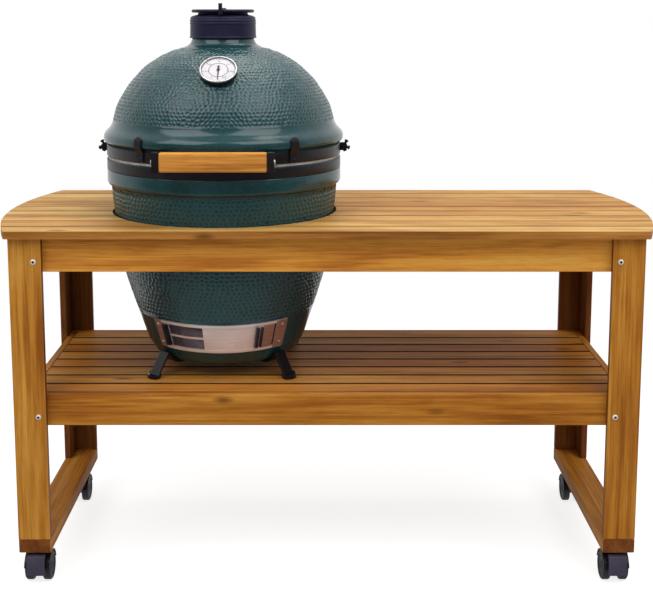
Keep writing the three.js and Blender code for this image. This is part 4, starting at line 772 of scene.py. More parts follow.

# %% [markdown]
# A slat's top is pale, partly by a painted sheen. Its eased edges, which the bevel makes, and its sides across a
# narrow gap take a nearly black finish of their own, painted shade for the dark gaps. The worktop's outermost
# edges and sawn ends are a redder wood. The bearers are the short boards across the slats' undersides, which they are
# screwed to.

# %% Slat helpers
KETTLE_X = -242.0
TOP_LOW, TOP_HIGH = 800.0, 817.0
TOP_HALF_DEPTH, TOP_SLATS, SLAT_GAP = 310.0, 9, 5.0
TOP_HALF_LENGTH, TOP_BOW_RADIUS, TOP_HOLE = 750.0, 901.1, 265.5
TOP_BEARERS = (-539.5, 55.5, 356.8)
SHELF_LOW, SHELF_HIGH, SHELF_HALF_DEPTH, SHELF_HALF_LENGTH, SHELF_SLATS = 430.0, 446.0, 262.0, 658.0, 8
SHELF_BEARERS = (-329.0, 0.0, 329.0)
BEARER = (40.0, 18.0)  # width and thickness
SLAT_EASE = 2.4


def slat_row(name, count, half_depth, half_length, low, high):
    """A row of slats that fills a depth, with equal gaps."""
    width = (2 * half_depth - (count - 1) * SLAT_GAP) / count
    start = Vector((0, width / 2 - half_depth, (low + high) / 2)) * MM
    size = Vector((2 * half_length, width, high - low)) * MM
    return grown(name, row_tree, Count=count, Size=size, Start=start, Step=(0, (width + SLAT_GAP) * MM, 0))


def edged(piece, half_depth):
    """Slat edges across a gap, and all eased edges, take finish 1, painted shade; the outermost edges and ends take
    finish 2.
    """
    piece.modifiers["edges"].material = 1

    def choose(face):
        if abs(face.normal.z) > 0.7:
            return 0
        outermost = abs(face.center.y) > (half_depth - 1) * MM
        return 2 if outermost or abs(face.normal.x) > 0.5 else 1

    return by_face(piece, choose)


def bearers(places, top, half_length):
    """Boards across the slats, one at each place."""
    low = top - BEARER[1]
    boards = [block((x - BEARER[0] / 2, -half_length, low), (x + BEARER[0] / 2, half_length, top)) for x in places]
    return sum(boards[1:], boards[0])


print("slats: row and edges")

# %% Worktop
uncut = slat_row("worktop_uncut", TOP_SLATS, TOP_HALF_DEPTH, TOP_HALF_LENGTH, TOP_LOW, TOP_HIGH)
worktop = grown(
    "worktop_slats", saw_tree, uncut.data, SLAT_EASE, 2, 30, Bow_radius=TOP_BOW_RADIUS * MM,
    Half_length=TOP_HALF_LENGTH * MM, Height=TOP_LOW * MM, Hole_radius=TOP_HOLE * MM,
    Hole_place=(KETTLE_X * MM, 0, TOP_LOW * MM))
bpy.data.objects.remove(uncut)
top_nodes = [n for n in frame["nodes"] if n.startswith(("top_slat", "top_deck"))]
settle(edged(lay_grain(worktop), TOP_HALF_DEPTH), top_wood_with_painted_sheen, sorted(top_nodes), shadow_wood, edge_wood)
print("worktop:", TOP_SLATS, "slats")

# %% Shelf and bearers
shelf = slat_row("shelf_slats", SHELF_SLATS, SHELF_HALF_DEPTH, SHELF_HALF_LENGTH, SHELF_LOW, SHELF_HIGH)
edges = shelf.modifiers.new("edges", "BEVEL")
edges.width, edges.segments, edges.harden_normals = SLAT_EASE * MM, 2, True
settle(edged(lay_grain(shelf), SHELF_HALF_DEPTH), shelf_wood, "shelf_deck", shadow_wood, shelf_wood)
for name, places, top in (("top_bearers", TOP_BEARERS, TOP_LOW), ("shelf_bearers", SHELF_BEARERS, SHELF_LOW)):
    under = keep(name, bearers(places, top, SHELF_HALF_DEPTH), EASE)
    dress(lay_grain(under), frame_wood, "table", "frame_wood")
print("shelf:", SHELF_SLATS, "slats; bearers:", len(TOP_BEARERS) + len(SHELF_BEARERS))

# %% [markdown]
# ## The dimpled kettle
# The kettle's base and lid are turned on a wheel, and the wet clay is then pressed all over with small round
# dimples, row on row. So the skin starts as a net of triangles with one corner for each dimple. A tree turns
# the net inside out: its dual mesh has one six-sided cell round each corner. Each cell's middle is pushed in
# and made smaller, twice, which leaves a stepped hollow between ridges. A texture that moves a fine grid
# needs four times the faces for the same sharpness.

# %% Dimple tree
dimple_tree, given = new_tree("pressed dimples", Depth=FLOAT, Share=FLOAT, Shell=OBJECT, Material=MATERIAL)
cells, middles = put(dimple_tree, "GeometryNodeDualMesh", {"Mesh": given["Geometry"]}), True
depth = calc(dimple_tree, "MULTIPLY", given["Depth"], -0.5)
for _ in range(2):
    pushed = put(dimple_tree, "GeometryNodeExtrudeMesh", {
        "Mesh": cells, "Selection": middles, "Offset Scale": depth}, mode="FACES")
    middles = pushed.outputs["Top"]
    cells = put(dimple_tree, "GeometryNodeScaleElements", {
        "Geometry": pushed.outputs["Mesh"], "Selection": middles, "Scale": given["Share"]}, domain="FACE")
marked = put(dimple_tree, "GeometryNodeStoreNamedAttribute", {
    "Geometry": cells, "Name": "pooled", "Value": middles}, data_type="FLOAT", domain="POINT")
shell = put(dimple_tree, "GeometryNodeObjectInfo", {"Object": given["Shell"]})
deep = put(dimple_tree, "GeometryNodeStoreNamedAttribute", {
    "Geometry": shell.outputs["Geometry"], "Name": "pooled", "Value": 0.75}, data_type="FLOAT", domain="POINT")
close_tree(dimple_tree, given, joined(dimple_tree, marked, deep))
print("tree: pressed dimples")

# %% [markdown]
# The net's rows go round the kettle. Half a step's offset from row to row gives the six-sided cells, and a
# seeded random shift keeps them from looking like a machine's work. The base's dimples are coarser and deeper.

# %% Dimple net
LID_PITCH, LID_DEPTH = 9.8, 0.85
BASE_PITCH, BASE_DEPTH = 11.4, 1.2
DIMPLE_SHARE = 0.70  # how much of its cell's width a dimple's floor keeps at each push
ROW_STEP = 0.866  # rows of equal triangles lie this share of a side apart
SHIFT, LIFT = 0.27, 1.7  # the random shift along a row, in steps, and up or down, in millimetres
SUNK = 1.4  # how far the plain shell lies under the dimpled skin
press = random.Random(11)


def net(line, low, high, pitch):
    """A net of triangles over a turned surface between two heights, one corner for each dimple."""
    path = [p for p in smooth_line(line, 0.5) if low <= p[1] <= high]
    corners, faces, rings, walked = [], [], [], 0.0
    for before, here in zip(path, path[1:]):
        walked += math.dist(before, here)
        if rings and walked < pitch * ROW_STEP:
            continue
        walked = 0.0
        count = round(math.tau * here[0] / pitch)
        ring = []
        for i in range(count):
            share = (i + len(rings) % 2 / 2 + press.uniform(-SHIFT, SHIFT)) / count
            ring.append((share, len(corners)))
            angle = math.pi + math.tau * share
            lift = press.uniform(-LIFT, LIFT)
            corners.append((here[0] * math.sin(angle), -here[0] * math.cos(angle), here[1] + lift))
        rings.append(ring)
    for lower, upper in zip(rings, rings[1:]):
        lower, upper = (ring + [(ring[0][0] + 1, ring[0][1])] for ring in (lower, upper))
        i = j = 0
        while i < len(lower) - 1 or j < len(upper) - 1:
            step_lower = j == len(upper) - 1 or (i < len(lower) - 1 and lower[i + 1][0] < upper[j + 1][0])
            if step_lower:
                faces.append((lower[i][1], lower[i + 1][1], upper[j][1]))
                i += 1
            else:
                faces.append((lower[i][1], upper[j + 1][1], upper[j][1]))
                j += 1
    return Shape(corners, faces)


print("dimples every", LID_PITCH, "mm on the lid and", BASE_PITCH, "mm on the base")

# %% [markdown]
# Under the dimpled skin lies the plain shell, a little sunk so that it never shows through. It makes the rims,
# the window and the bare clay inside, which no glaze reaches.

# %% Shell
COLUMNS = 240
SPLIT = 950.0  # the height where the lid meets the base


def shifted(points, wall):
    """A [radius, height] line moved inwards by a wall's thickness."""
    line = [Vector(p) for p in points]
    result = []
    for i, point in enumerate(line):
        along = (line[min(i + 1, len(line) - 1)] - line[max(i - 1, 0)]).normalized()
        result.append((point.x - wall * along.y, point.y + wall * along.x))
    return result


def sunk(line, low, high):
    """The line with its part between two heights moved a little inwards, to lie under the dimpled skin."""
    inner = shifted(line, SUNK)
    result = []
    for outer_point, inner_point in zip(line, inner):
        depth = min(1.0, max(0.0, min(outer_point[1] - low, high - outer_point[1]) / 4.0))
        result.append(tuple(Vector(outer_point).lerp(Vector(inner_point), depth)))
    return result


def keep_round(name, shape, *edges, **angles):
    """Keeps a piece that is drawn about Z at the kettle's place."""
    return keep(name, shape.at(x=KETTLE_X), *edges, **angles)


def dimpled(name, shape, line, low, high, pitch, depth):
    """A turned shell with a dimpled skin over a part of its line."""
    shell = keep_round(name + "_shell", shape)
    skin = keep_round(name + "_net", net(line, low, high, pitch))
    piece = grown(name, dimple_tree, skin.data, smooth=60, Depth=depth * MM, Share=DIMPLE_SHARE,
                  Shell=shell, Material=glaze)
    for leftover in (shell, skin):
        bpy.data.objects.remove(leftover)
    return piece


def unglazed(piece):
    """The faces that look into the kettle are bare clay."""
    bare = len(piece.data.materials)
    piece.data.materials.append(fire_clay)

    def choose(face):
        rise = max(0.0, face.center.z - SPLIT * MM)
        way_out = Vector((face.center.x - KETTLE_X * MM, face.center.y, rise)).normalized()
        return bare if face.normal.dot(way_out) < -0.1 else face.material_index

    return by_face(piece, choose)


print("shell helpers: shifted, sunk, keep_round, dimpled, unglazed")

# %% [markdown]
# The lid's outline comes from the drawing: a skirt for the steel band, a flared rim, the dome, and a chimney
# that the vent cap stands over. Its inner wall runs one wall's thickness inside and needs fewer rows.

# %% Lid
CHIMNEY_BORE, CHIMNEY_TOP = 50.0, 1245.0
dome = [(261, 1028.1), (258.4, 1038.1), (256, 1047.4), (250, 1067), (240.1, 1086), (228.1, 1105), (214, 1124.6),
        (196, 1143.9), (174.1, 1163), (143, 1182), (120.1, 1192.1), (92.4, 1201.1), (78, 1208.9), (72, 1222)]
lid_rim = [(271.5, 980.5), (273.5, 983.5), (277.7, 985.3), (281, 989.5), (281, 998.7), (278.6, 1004.5), (273, 1011),
           (266, 1018.6)]
skirt = [(271.2, 953), (271.5, 953.5)]
LID_DIMPLES = (1029.0, 1202.5)
inner_dome = [p for p in shifted(smooth_line(dome, 30), 20) if p[0] > CHIMNEY_BORE + 4]
lid_outline = (
    skirt + smooth_line(lid_rim + dome[:2], 3)[:-1] + sunk(smooth_line(dome[1:], 4), *LID_DIMPLES)
    + rounded([(70, 1222.2), (70, CHIMNEY_TOP), (CHIMNEY_BORE, CHIMNEY_TOP), (CHIMNEY_BORE, 1190)], 2, 2, False)
    + inner_dome[::-1] + [(245, 1000), (245, 953)])
lid = dimpled("glazed_lid", turned(lid_outline, COLUMNS), dome, *LID_DIMPLES, LID_PITCH, LID_DEPTH)
settle(unglazed(lid), glaze, "lid_shell")
print("lid: rim, dome, chimney")

# %% [markdown]
# The base is a bowl with a window low in its front for the draft door. The bowl is turned first, and then the
# window's faces are left out of the outer and the inner wall and its four sides are closed. Cutting it with a
# boolean would work too, but on a mesh this fine that is slow, and the turned rows already lie where the
# window's edges are.

# %% Window
WINDOW = (-31.5, 0.0)  # degrees from the front
WINDOW_LOW, WINDOW_HIGH = 525.0, 575.0


def with_window(outline, columns, low, high, start, end):
    """A turned piece with a window through both walls; the outline has points at low and high in both."""
    shape = turned(outline, columns)
    first = [0]
    for radius, _ in outline:
        first.append(first[-1] + (1 if radius < 1e-6 else columns))
    edge = [i for i, (r, h) in enumerate(outline) if low - 0.01 <= h <= high + 0.01 and r > 1]
    split = next(k for k in range(1, len(edge)) if edge[k] != edge[k - 1] + 1)
    walls = [edge[:split], edge[split:]]
    from_column, to_column = (round(a / 360 * columns) for a in (start, end))
    opened = set()
    for wall in walls:
        for row in wall[:-1]:
            for column in range(from_column, to_column):
                i, j = column % columns, (column + 1) % columns
                opened.add(frozenset((first[row] + i, first[row] + j, first[row + 1] + i, first[row + 1] + j)))
    faces = [f for f in shape.faces if frozenset(f) not in opened]
    outer, inner = walls[0], walls[1][::-1]
    for column in range(from_column, to_column):
        i, j = column % columns, (column + 1) % columns
        for k in (0, -1):
            a, b = first[outer[k]], first[inner[k]]
            faces.append((a + i, a + j, b + j, b + i))
    for column in (from_column, to_column):
        i = column % columns
        faces.append([first[row] + i for row in outer] + [first[row] + i for row in inner[::-1]])
    return Shape(shape.corners, faces)


print("window:", WINDOW, "degrees")

# %% Base
bowl_line = [(147.9, 478), (162, 481.7), (171, 489), (179, 502), (187, 514.9), (215.5, 599.8), (228, 639.2),
             (234.1, 657.9), (243.4, 700.1), (251.1, 750), (257.5, 800), (263.6, 849.9), (266, 884)]


def radius_at(height):
    """The bowl's radius at a height, straight between the drawing's points."""
    for (r0, h0), (r1, h1) in zip(bowl_line, bowl_line[1:]):
        if height <= h1:
            return r0 + (r1 - r0) * (height - h0) / (h1 - h0)
    return bowl_line[-1][0]


levels = [WINDOW_LOW + (WINDOW_HIGH - WINDOW_LOW) * i / 4 for i in range(5)]
BASE_DIMPLES = (586.0, 884.5)
window_rows = [(radius_at(h), h) for h in levels]
foot = smooth_line(bowl_line[:4] + [(187, 514.9)], 6)
wall_up = sunk(smooth_line([(radius_at(582), 582)] + bowl_line[5:], 5), *BASE_DIMPLES)
base_rim = rounded([(266, 884), (272, 886.7), (275, 892), (275, 921.2), (271.6, 921.7), (271.6, 947), (245, 947)],
                   1.5, 2, False)[1:]
inner_wall = [(radius_at(h) - 21, h) for h in (880, 800, 700, 640, 600)]
inner_rows = [(radius_at(h) - 21, h) for h in levels[::-1]]
base_outline = ([(0, 478)] + foot + window_rows + wall_up + base_rim + inner_wall + inner_rows
                + [(radius_at(506) - 21, 506), (0, 506)])
base_shape = with_window(base_outline, COLUMNS, WINDOW_LOW, WINDOW_HIGH, *WINDOW)
base = dimpled("glazed_base", base_shape, bowl_line[4:], *BASE_DIMPLES, BASE_PITCH, BASE_DEPTH)
settle(unglazed(base), glaze, "base_shell")
print("base: bowl with a window")

# %% [markdown]
# ## Fire clay, grate and grid
# Inside, a clay firebox holds the charcoal on an iron grate, a clay ring lengthens it, and the cooking grid
# lies on the ring. They show when the lid is open. The clay pieces are turned; the grate's holes and the
# grid's rods repeat, so trees place them.

# %% Fire clay
firebox_outer = [(radius_at(h) - 29, h) for h in levels]
firebox_shape = with_window(
    [(0, 506.3), (radius_at(506.3) - 29, 506.3), *firebox_outer]
    + rounded([(radius_at(600) - 29, 600), (radius_at(753.3) - 29, 753.3), (radius_at(753.3) - 49, 753.3),
               (144, 586), (122, 586), (122, 580)], 3, 3, False)
    + [(122, h) for h in levels[::-1]] + [(122, 524.3), (0, 524.3)],
    160, WINDOW_LOW, WINDOW_HIGH, *WINDOW)
firebox = keep_round("clay_firebox", firebox_shape, smooth=30)
settle(firebox, fire_clay, "firebox")
ring_shape = turned(rounded([(radius_at(753.6) - 29, 753.6), (237, 902.7), (219, 902.7),
                             (radius_at(753.6) - 47, 753.6)], 3, 3), 128)
settle(keep_round("clay_fire_ring", ring_shape, smooth=30), fire_clay, "fire_ring")
print("fire clay: box and ring")

# %% [markdown]
# Holes, clips and screws stand round the kettle's axis. These helpers turn a radius and an angle into a place
# and the way that it faces, so each piece below can be given as it would be marked out on the real kettle.

# %% Places round the kettle
UP = (0, 0, 1)


def on_kettle(radius, degrees, height):
    """A place round the kettle's axis, from the front towards the right."""
    a = math.radians(degrees)
    return (KETTLE_X + radius * math.sin(a), -radius * math.cos(a), height)


def outward(degrees, rise=0.0):
    """The way out from the kettle's axis."""
    a = math.radians(degrees)
    return (math.sin(a), -math.cos(a), rise)


def holes_round(radius, count, height, turn=0.0):
    """Places for holes on a circle about the kettle's axis, each facing up."""
    return [((KETTLE_X + x, y, height), UP) for x, y in circle(radius, count, turn=turn)]


print("places: on_kettle, outward, holes_round")

# %% [markdown]
# The drilling tree cuts one hole at each point of its start mesh out of a blank. The rods of the grid are
# laid as copies of one rod, each as long as the circle is wide where it lies.

# %% Drilling tree, rod tree
drill_tree, given = new_tree(
    "holes at points", Blank=OBJECT, Radius=FLOAT, Depth=FLOAT, Sides=INT, Material=MATERIAL)
blank = put(drill_tree, "GeometryNodeObjectInfo", {"Object": given["Blank"]})
bit = cylinder(drill_tree, *(given[key] for key in ("Sides", "Radius", "Depth")))
bits = copies(drill_tree, given["Geometry"], bit)
close_tree(drill_tree, given, cut_out(drill_tree, blank.outputs["Geometry"], realized(drill_tree, bits)))

rod_tree, given = new_tree(
    "rods across a ring", Count=INT, Ring_radius=FLOAT, Rod_radius=FLOAT, Place=VECTOR, Material=MATERIAL)
SHORTEST = 0.03  # metres; half the length of the shortest rod worth laying
ends = vector(rod_tree, given["Ring radius"])
starts = vector(rod_tree, calc(rod_tree, "MULTIPLY", given["Ring radius"], -1.0))
line = put(rod_tree, "GeometryNodeMeshLine", {
    "Count": given["Count"], "Start Location": starts, "Offset": ends}, mode="END_POINTS")
rod = cylinder(rod_tree, 10, given["Rod radius"], 2.0)
flat_rod = transformed(rod_tree, rod, Rotation=(math.pi / 2, 0, 0))
across = put(rod_tree, "ShaderNodeSeparateXYZ", {
    "Vector": put(rod_tree, "GeometryNodeInputPosition").outputs[0]}).outputs["X"]
square = calc(rod_tree, "SUBTRACT", calc(rod_tree, "POWER", given["Ring radius"], 2.0),
              calc(rod_tree, "MULTIPLY", across, across))
half = calc(rod_tree, "SQRT", calc(rod_tree, "MAXIMUM", square, 0.0))
stretch = vector(rod_tree, 1.0, half, 1.0)
long_enough = calc(rod_tree, "GREATER_THAN", half, SHORTEST)
rods = copies(rod_tree, line, flat_rod, Selection=long_enough, Scale=stretch)
lowered = transformed(rod_tree, realized(rod_tree, rods), Translation=given["Place"])
close_tree(rod_tree, given, joined(rod_tree, lowered, given["Geometry"]))
print("trees: holes at points, rods across a ring")

# %% Grate
GRATE_RADIUS, GRATE_LOW, GRATE_HIGH, GRATE_HOLE = 142.0, 586.3, 594.3, 9.0
grate_plate = turned(rounded(rect(0, GRATE_RADIUS, GRATE_LOW, GRATE_HIGH), 2, 3, False), 96)
grate_blank = keep_round("grate_blank", grate_plate)
holes = holes_round(GRATE_RADIUS / 3, 6, 590) + holes_round(2 * GRATE_RADIUS / 3, 12, 590)
grate = grown("fire_grate_plate", drill_tree, spots("grate_holes", holes), 0.8, smooth=40, Blank=grate_blank,
              Radius=GRATE_HOLE * MM, Depth=0.03, Sides=24)
bpy.data.objects.remove(grate_blank)
settle(grate, iron, "fire_grate")
print("grate:", len(holes), "holes")

# %% Grid
GRID_RADIUS, GRID_TOP, GRID_ROD = 231.0, 911.0, 2.4
GRID_RIM = 8.0  # the outer ring's width and height
rod_ring = GRID_RADIUS - GRID_RIM / 2
rim = turned(rounded(rect(GRID_RADIUS - GRID_RIM, GRID_RADIUS, GRID_TOP - GRID_RIM, GRID_TOP), 3.5, 4), 128)
cross = prism(circle(GRID_ROD, 10, GRID_TOP - 5), -rod_ring, rod_ring, "X")
grid_rim = keep_round("grid_rim", rim + cross)
grid = grown("cooking_grid_rods", rod_tree, grid_rim.data, smooth=40, Count=29, Ring_radius=rod_ring * MM,
             Rod_radius=GRID_ROD * MM, Place=Vector((KETTLE_X, 0, GRID_TOP - 3.4)) * MM)
bpy.data.objects.remove(grid_rim)
settle(grid, zinc, "cooking_grid")
print("grid: rim, cross rod and rods")

# %% [markdown]
# ## Bands, gaskets and their bolts
# Two felt gaskets seal the lid to the base. Steel bands are drawn tight round both rims, the upper one by
# bolts through lugs at its sides, where short studs stand. Fasteners repeat over the whole object, so one
# tree sets a copy of any fastener on each point that it is given, turned to the way that the point faces.

# %% Bands and gaskets
BAND_INNER, BAND_OUTER = 271.8, 275.0
LUG_X, LUG_HEIGHT, LUG_ROUND = 283.0, 967.5, 9.0  # the lugs' eye, and its rounding


def hoop(inner, outer, low, high, round_over):
    """A flat ring of sheet or felt."""
    return turned(rounded(rect(inner, outer, low, high), round_over, 3), 192)


for name, low in (("base_gasket", 947.0), ("lid_gasket", 950.0)):
    settle(keep_round(name + "_felt", hoop(249, 271.2, low, low + 3, 1.2)), felt, name)
settle(keep_round("base_band_hoop", hoop(BAND_INNER, BAND_OUTER, 922, 945, 1.2)), black_steel, "base_band")
lugs = Shape()
for side in (-1, 1):
    for face in (-1, 1):
        half_turn = [math.radians(-90 + 180 * k / 12) for k in range(13)]
        eye = [(side * (LUG_X + LUG_ROUND * math.cos(a)), LUG_HEIGHT + LUG_ROUND * math.sin(a)) for a in half_turn]
        lug = prism([(side * 273.5, 958.5), *eye, (side * 273.5, 976.5)], face * 4, face * 8)
        lugs += Shape([(c.x, c.z, c.y) for c in lug.corners], lug.faces)
    for lean, length in ((28, 17), (104, 15), (160, 12)):
        stud = turned([(0, 0), (3, 0), (3, length - 5), (4.6, length - 4.7), (4.6, length - 0.6), (4, length),
                       (0, length)], 12)
        lugs += stud.spun(side * lean, "Y").at(side * LUG_X, 0, LUG_HEIGHT)
lid_band = keep_round("lid_band_hoop", hoop(BAND_INNER, BAND_OUTER, 953.3, 978.3, 1.2) + lugs, smooth=40)
settle(lid_band, black_steel, "lid_band")
print("bands: 2, gaskets: 2")

# %% Fastener tree
fasten_tree, given = new_tree("a fastener at each point", Fastener=OBJECT, Material=MATERIAL)
item = put(fasten_tree, "GeometryNodeObjectInfo", {"Object": given["Fastener"]})
way = put(fasten_tree, "GeometryNodeInputNamedAttribute", {"Name": "facing"}, data_type="FLOAT_VECTOR")
turn = put(fasten_tree, "FunctionNodeAlignRotationToVector", {"Vector": way}, axis="Z")
fasteners = copies(fasten_tree, given["Geometry"], item.outputs["Geometry"], Rotation=turn)
close_tree(fasten_tree, given, fasteners)


def dome_head(radius, height, socket):
    """A round head with a sunk middle, foot at the origin, facing Z."""
    outline = [(0, -1), (radius, -1), (radius, height * 0.25), (radius * 0.85, height * 0.72),
               (radius * 0.6, height * 0.95), (socket, height), (socket, height * 0.35), (0, height * 0.3)]
    return turned(outline, 24)


def hexagon(radius, low, high):
    """A six-sided head or socket about Z."""
    return prism(circle(radius, 6), low, high)


def fasten(name, fastener, places, material, body, slot):
    """Sets copies of a fastener at places and keeps them as one piece."""
    model = keep(name + "_one", fastener)
    piece = grown(name, fasten_tree, spots(name + "_spots", places), smooth=40, Fastener=model)
    bpy.data.objects.remove(model)
    return dress(piece, material, body, slot)


print("fasteners: the tree, dome heads and hexagons")

# %% [markdown]
# Two bolts hold each leg to its rails. Their heads are bright zinc, and the hexagon socket in each looks
# black, because no light gets into it: a small dark hexagon in the sunk middle reads the same and costs less
# than a real hole.

# %% Leg bolts
LEG_BOLT_X, LEG_BOLT_Y, LEG_BOLT_HEIGHTS = 636.0, 294.0, (747.0, 398.0)
leg_bolts = [((side * LEG_BOLT_X, face * LEG_BOLT_Y, height), (0, face, 0))
             for side in (-1, 1) for face in (-1, 1) for height in LEG_BOLT_HEIGHTS]
fasten("leg_bolts", dome_head(6.2, 2.8, 2.9), leg_bolts, bolt_zinc, "table", "zinc")
fasten("leg_bolt_sockets", hexagon(3.4, 0.4, 1.4), leg_bolts, black_steel, "table", "zinc")
print("leg bolts:", len(leg_bolts))

# %% [markdown]
# Two bent clips are screwed to the upper band and hook over the lid's rim in front. Each is a strip with a
# rounded tip, drawn as a line in profile and given a thickness and a width, as a strip in a press is.

# %% A bent tongue
def tongue(path, thick, half, tip):
    """A strap along [outward, height] points, with a rounded far end; it faces the front."""
    points = [Vector(p) for p in path]
    corners, faces, left = [], [], sum((b - a).length for a, b in zip(points, points[1:]))
    for i, point in enumerate(points):
        before, after = points[max(i - 1, 0)], points[min(i + 1, len(points) - 1)]
        along = (after - before).normalized()
        across = Vector((-along.y, along.x)) * thick / 2
        left -= (point - before).length
        short = max(0.0, 1 - left / tip)
        width = half * math.sqrt(max(1 - short**2, 0.04))
        for spot, x in ((point + across, -width), (point + across, width), (point - across, width),
                        (point - across, -width)):
            corners.append((x, -spot.x, spot.y))
    for i in range(0, len(corners) - 4, 4):
        faces += [(i + k, i + (k + 1) % 4, i + 4 + (k + 1) % 4, i + 4 + k) for k in range(4)]
    return Shape(corners, faces + [(3, 2, 1, 0), tuple(range(len(corners) - 4, len(corners)))])


print("tongue: a strap with a rounded tip")

# %% [markdown]
# The clamp bolts draw the upper band's lugs together: a shank, a hexagon head in front, and a nut with its
# washer behind.

# %% Clamp bolts, clips
CLIP_ANGLE = 37.5  # degrees from the front
CLIP_PATH = [(277.3, 955.5), (277.3, 966), (277.4, 977), (281.2, 983.6), (283.3, 990), (283.3, 999), (281, 1005.5),
             (277.8, 1010.3)]
for side, sign in (("left", -1), ("right", 1)):
    rod = turned(rect(0, 3, -12.6, 12.6), 20)
    ends = hexagon(6, -13.3, -8.3) + hexagon(6, 8.3, 13.3) + turned(rect(0, 7.2, 8.1, 8.35), 24)
    bolt = (rod + ends).spun(90, "X").at(KETTLE_X + sign * 283.5, 0, 966.8)
    settle(keep(f"band_bolt_{side}_hex", bolt, 0.6), black_steel, f"band_bolt_{side}")
    clip = tongue(smooth_line(CLIP_PATH, 1.5), 4.4, 10.5, 9.0).spun(sign * CLIP_ANGLE)
    settle(keep_round(f"lid_clip_{side}_strap", clip, 0.9, 3, 40), black_steel, f"lid_clip_{side}")
clip_screws = [(on_kettle(278.6, angle, 961.5), outward(angle)) for angle in (CLIP_ANGLE, -CLIP_ANGLE)]
fasten("clip_screws", dome_head(4.2, 2.2, 1.6), clip_screws, black_steel, "lid", "black_steel")
print("clamp bolts: 2, clips: 2")

# %% [markdown]
# ## Handle
# A wooden bar spans two steel brackets that stand off the upper band. The bar is one eased board; a bolt goes
# through each bracket into its end.

# %% Handle
bar = keep("handle_bar_wood", node_block("handle_bar"), 5.0, 5)
settle(lay_grain(bar), handle_wood, "handle_bar")
for side, sign in (("left", -1), ("right", 1)):
    settle(copied(f"handle_bracket_{side}", 1.2, 3), black_steel, f"handle_bracket_{side}")
    ends = [((KETTLE_X + sign * 129.8, -315, 967), (sign, 0, 0))]
    fasten(f"handle_bolt_{side}", dome_head(6, 3, 2.4), ends, zinc, "lid", "zinc")
print("handle: bar, 2 brackets")

# %% [markdown]
# ## Hinge
# At the back a pin joins the brackets of both bands, and two torsion springs wound round it carry part of the
# lid's weight. A spring is a spiral with straight legs; the tree lofts a round wire along it.

# %% Hinge
HINGE_Y = 312.0  # the pin's place behind the kettle's axis; it lies as high as the split
for node in ("hinge_base_bracket", "hinge_lid_bracket"):
    settle(copied(node, 0.8, 2), black_steel, node)
pin_line = [(0, -59.3), (10, -59.3), (10, -56.6), (5, -56.4), (5, 56.4), (10, 56.6), (10, 59.3), (0, 59.3)]
pin = turned(rounded(pin_line, 0.8, 2, False), 40)
settle(keep("hinge_pin_turned", pin.spun(90, "Y").at(KETTLE_X, HINGE_Y, SPLIT)), zinc, "hinge_pin")
print("hinge: 2 brackets, pin")

# %% Wire tree
wire_tree, given = new_tree("wire along a line", Wire_radius=FLOAT, Sides=INT, Material=MATERIAL)
path = put(wire_tree, "GeometryNodeMeshToCurve", {"Mesh": given["Geometry"]})
section = put(wire_tree, "GeometryNodeCurvePrimitiveCircle", {
    "Resolution": given["Sides"], "Radius": given["Wire radius"]})
wire = put(wire_tree, "GeometryNodeCurveToMesh", {
    "Curve": path, "Profile Curve": section.outputs["Curve"], "Fill Caps": True})
close_tree(wire_tree, given, wire)


def path_mesh(name, points):
    """A mesh of one line of edges, for the wire tree."""
    mesh = bpy.data.meshes.new(name)
    mesh.from_pydata([Vector(p) * MM for p in points], [(i, i + 1) for i in range(len(points) - 1)], [])
    return mesh


print("tree: wire along a line")

# %% Springs
COIL_RADIUS, COIL_TURNS, COIL_PITCH, COIL_STEPS = 7.0, 5, 4.6, 28
COIL_PLACE = 15.5  # a spring's middle, to the side of the kettle's axis
LEG_NEAR, LEG_FAR = 6.0, 14.0  # a spring's leg, above or below the pin
for side, sign in (("left", -1), ("right", 1)):
    start = KETTLE_X + sign * COIL_PLACE - COIL_TURNS * COIL_PITCH / 2
    leg_y = HINGE_Y - COIL_RADIUS
    points = [(start, leg_y, SPLIT - LEG_FAR), (start, leg_y, SPLIT - LEG_NEAR)]
    for i in range(COIL_TURNS * COIL_STEPS + 1):
        angle = math.tau * i / COIL_STEPS
        points.append((start + COIL_PITCH * i / COIL_STEPS, HINGE_Y - COIL_RADIUS * math.cos(angle),
                       SPLIT + COIL_RADIUS * math.sin(angle)))
    end = points[-1][0]
    points += [(end, leg_y, SPLIT + LEG_NEAR), (end, leg_y, SPLIT + LEG_FAR)]
    spring = grown(f"hinge_spring_{side}_wire", wire_tree, path_mesh("coil", points), smooth=60,
                   Wire_radius=1.5 * MM, Sides=12)
    settle(spring, zinc, f"hinge_spring_{side}")
print("springs: 2, of", COIL_TURNS, "turns")

# %% [markdown]
# ## Vent cap and damper
# An iron cap stands over the chimney, with two fine ridges near its top. Its plate has five holes, and so has
# the disc above, which turns on a rivet by its tab. Cap and disc are turned, then drilled by the tree.

# %% Vent
CAP_FOOT = 1222.3
VENT_HOLES, VENT_CIRCLE, VENT_HOLE = 5, 30.0, 9.0  # count, their circle's radius, their own radius
cap_line = rounded([
    (70.3, 0), (78, 0), (78, 2.5), (77, 4.5), (76.4, 32), (77.3, 33.2), (77.3, 35), (76.2, 36.2), (76.2, 38.2),
    (77.2, 39.4), (77.2, 41.2), (76, 42.4), (75.6, 48), (71, 51), (59.5, 53.5), (58, 55), (58, 60), (4, 60), (4, 66.3),
    (9, 66.3), (8.4, 68), (6, 69.3), (0, 69.3)], 1.0, 2, False)
cap_inside = [(0, 57), (50, 57), (50, 23), (70.3, 23)]
cap_blank = keep("cap_blank", turned(cap_line + cap_inside, 144).at(KETTLE_X, 0, CAP_FOOT))
disc_line = rounded([(4.3, 61), (61, 61), (64, 58.4), (70.5, 58.4), (73, 61), (73, 63.5), (70.5, 66), (4.3, 66)],
                    0.8, 3)
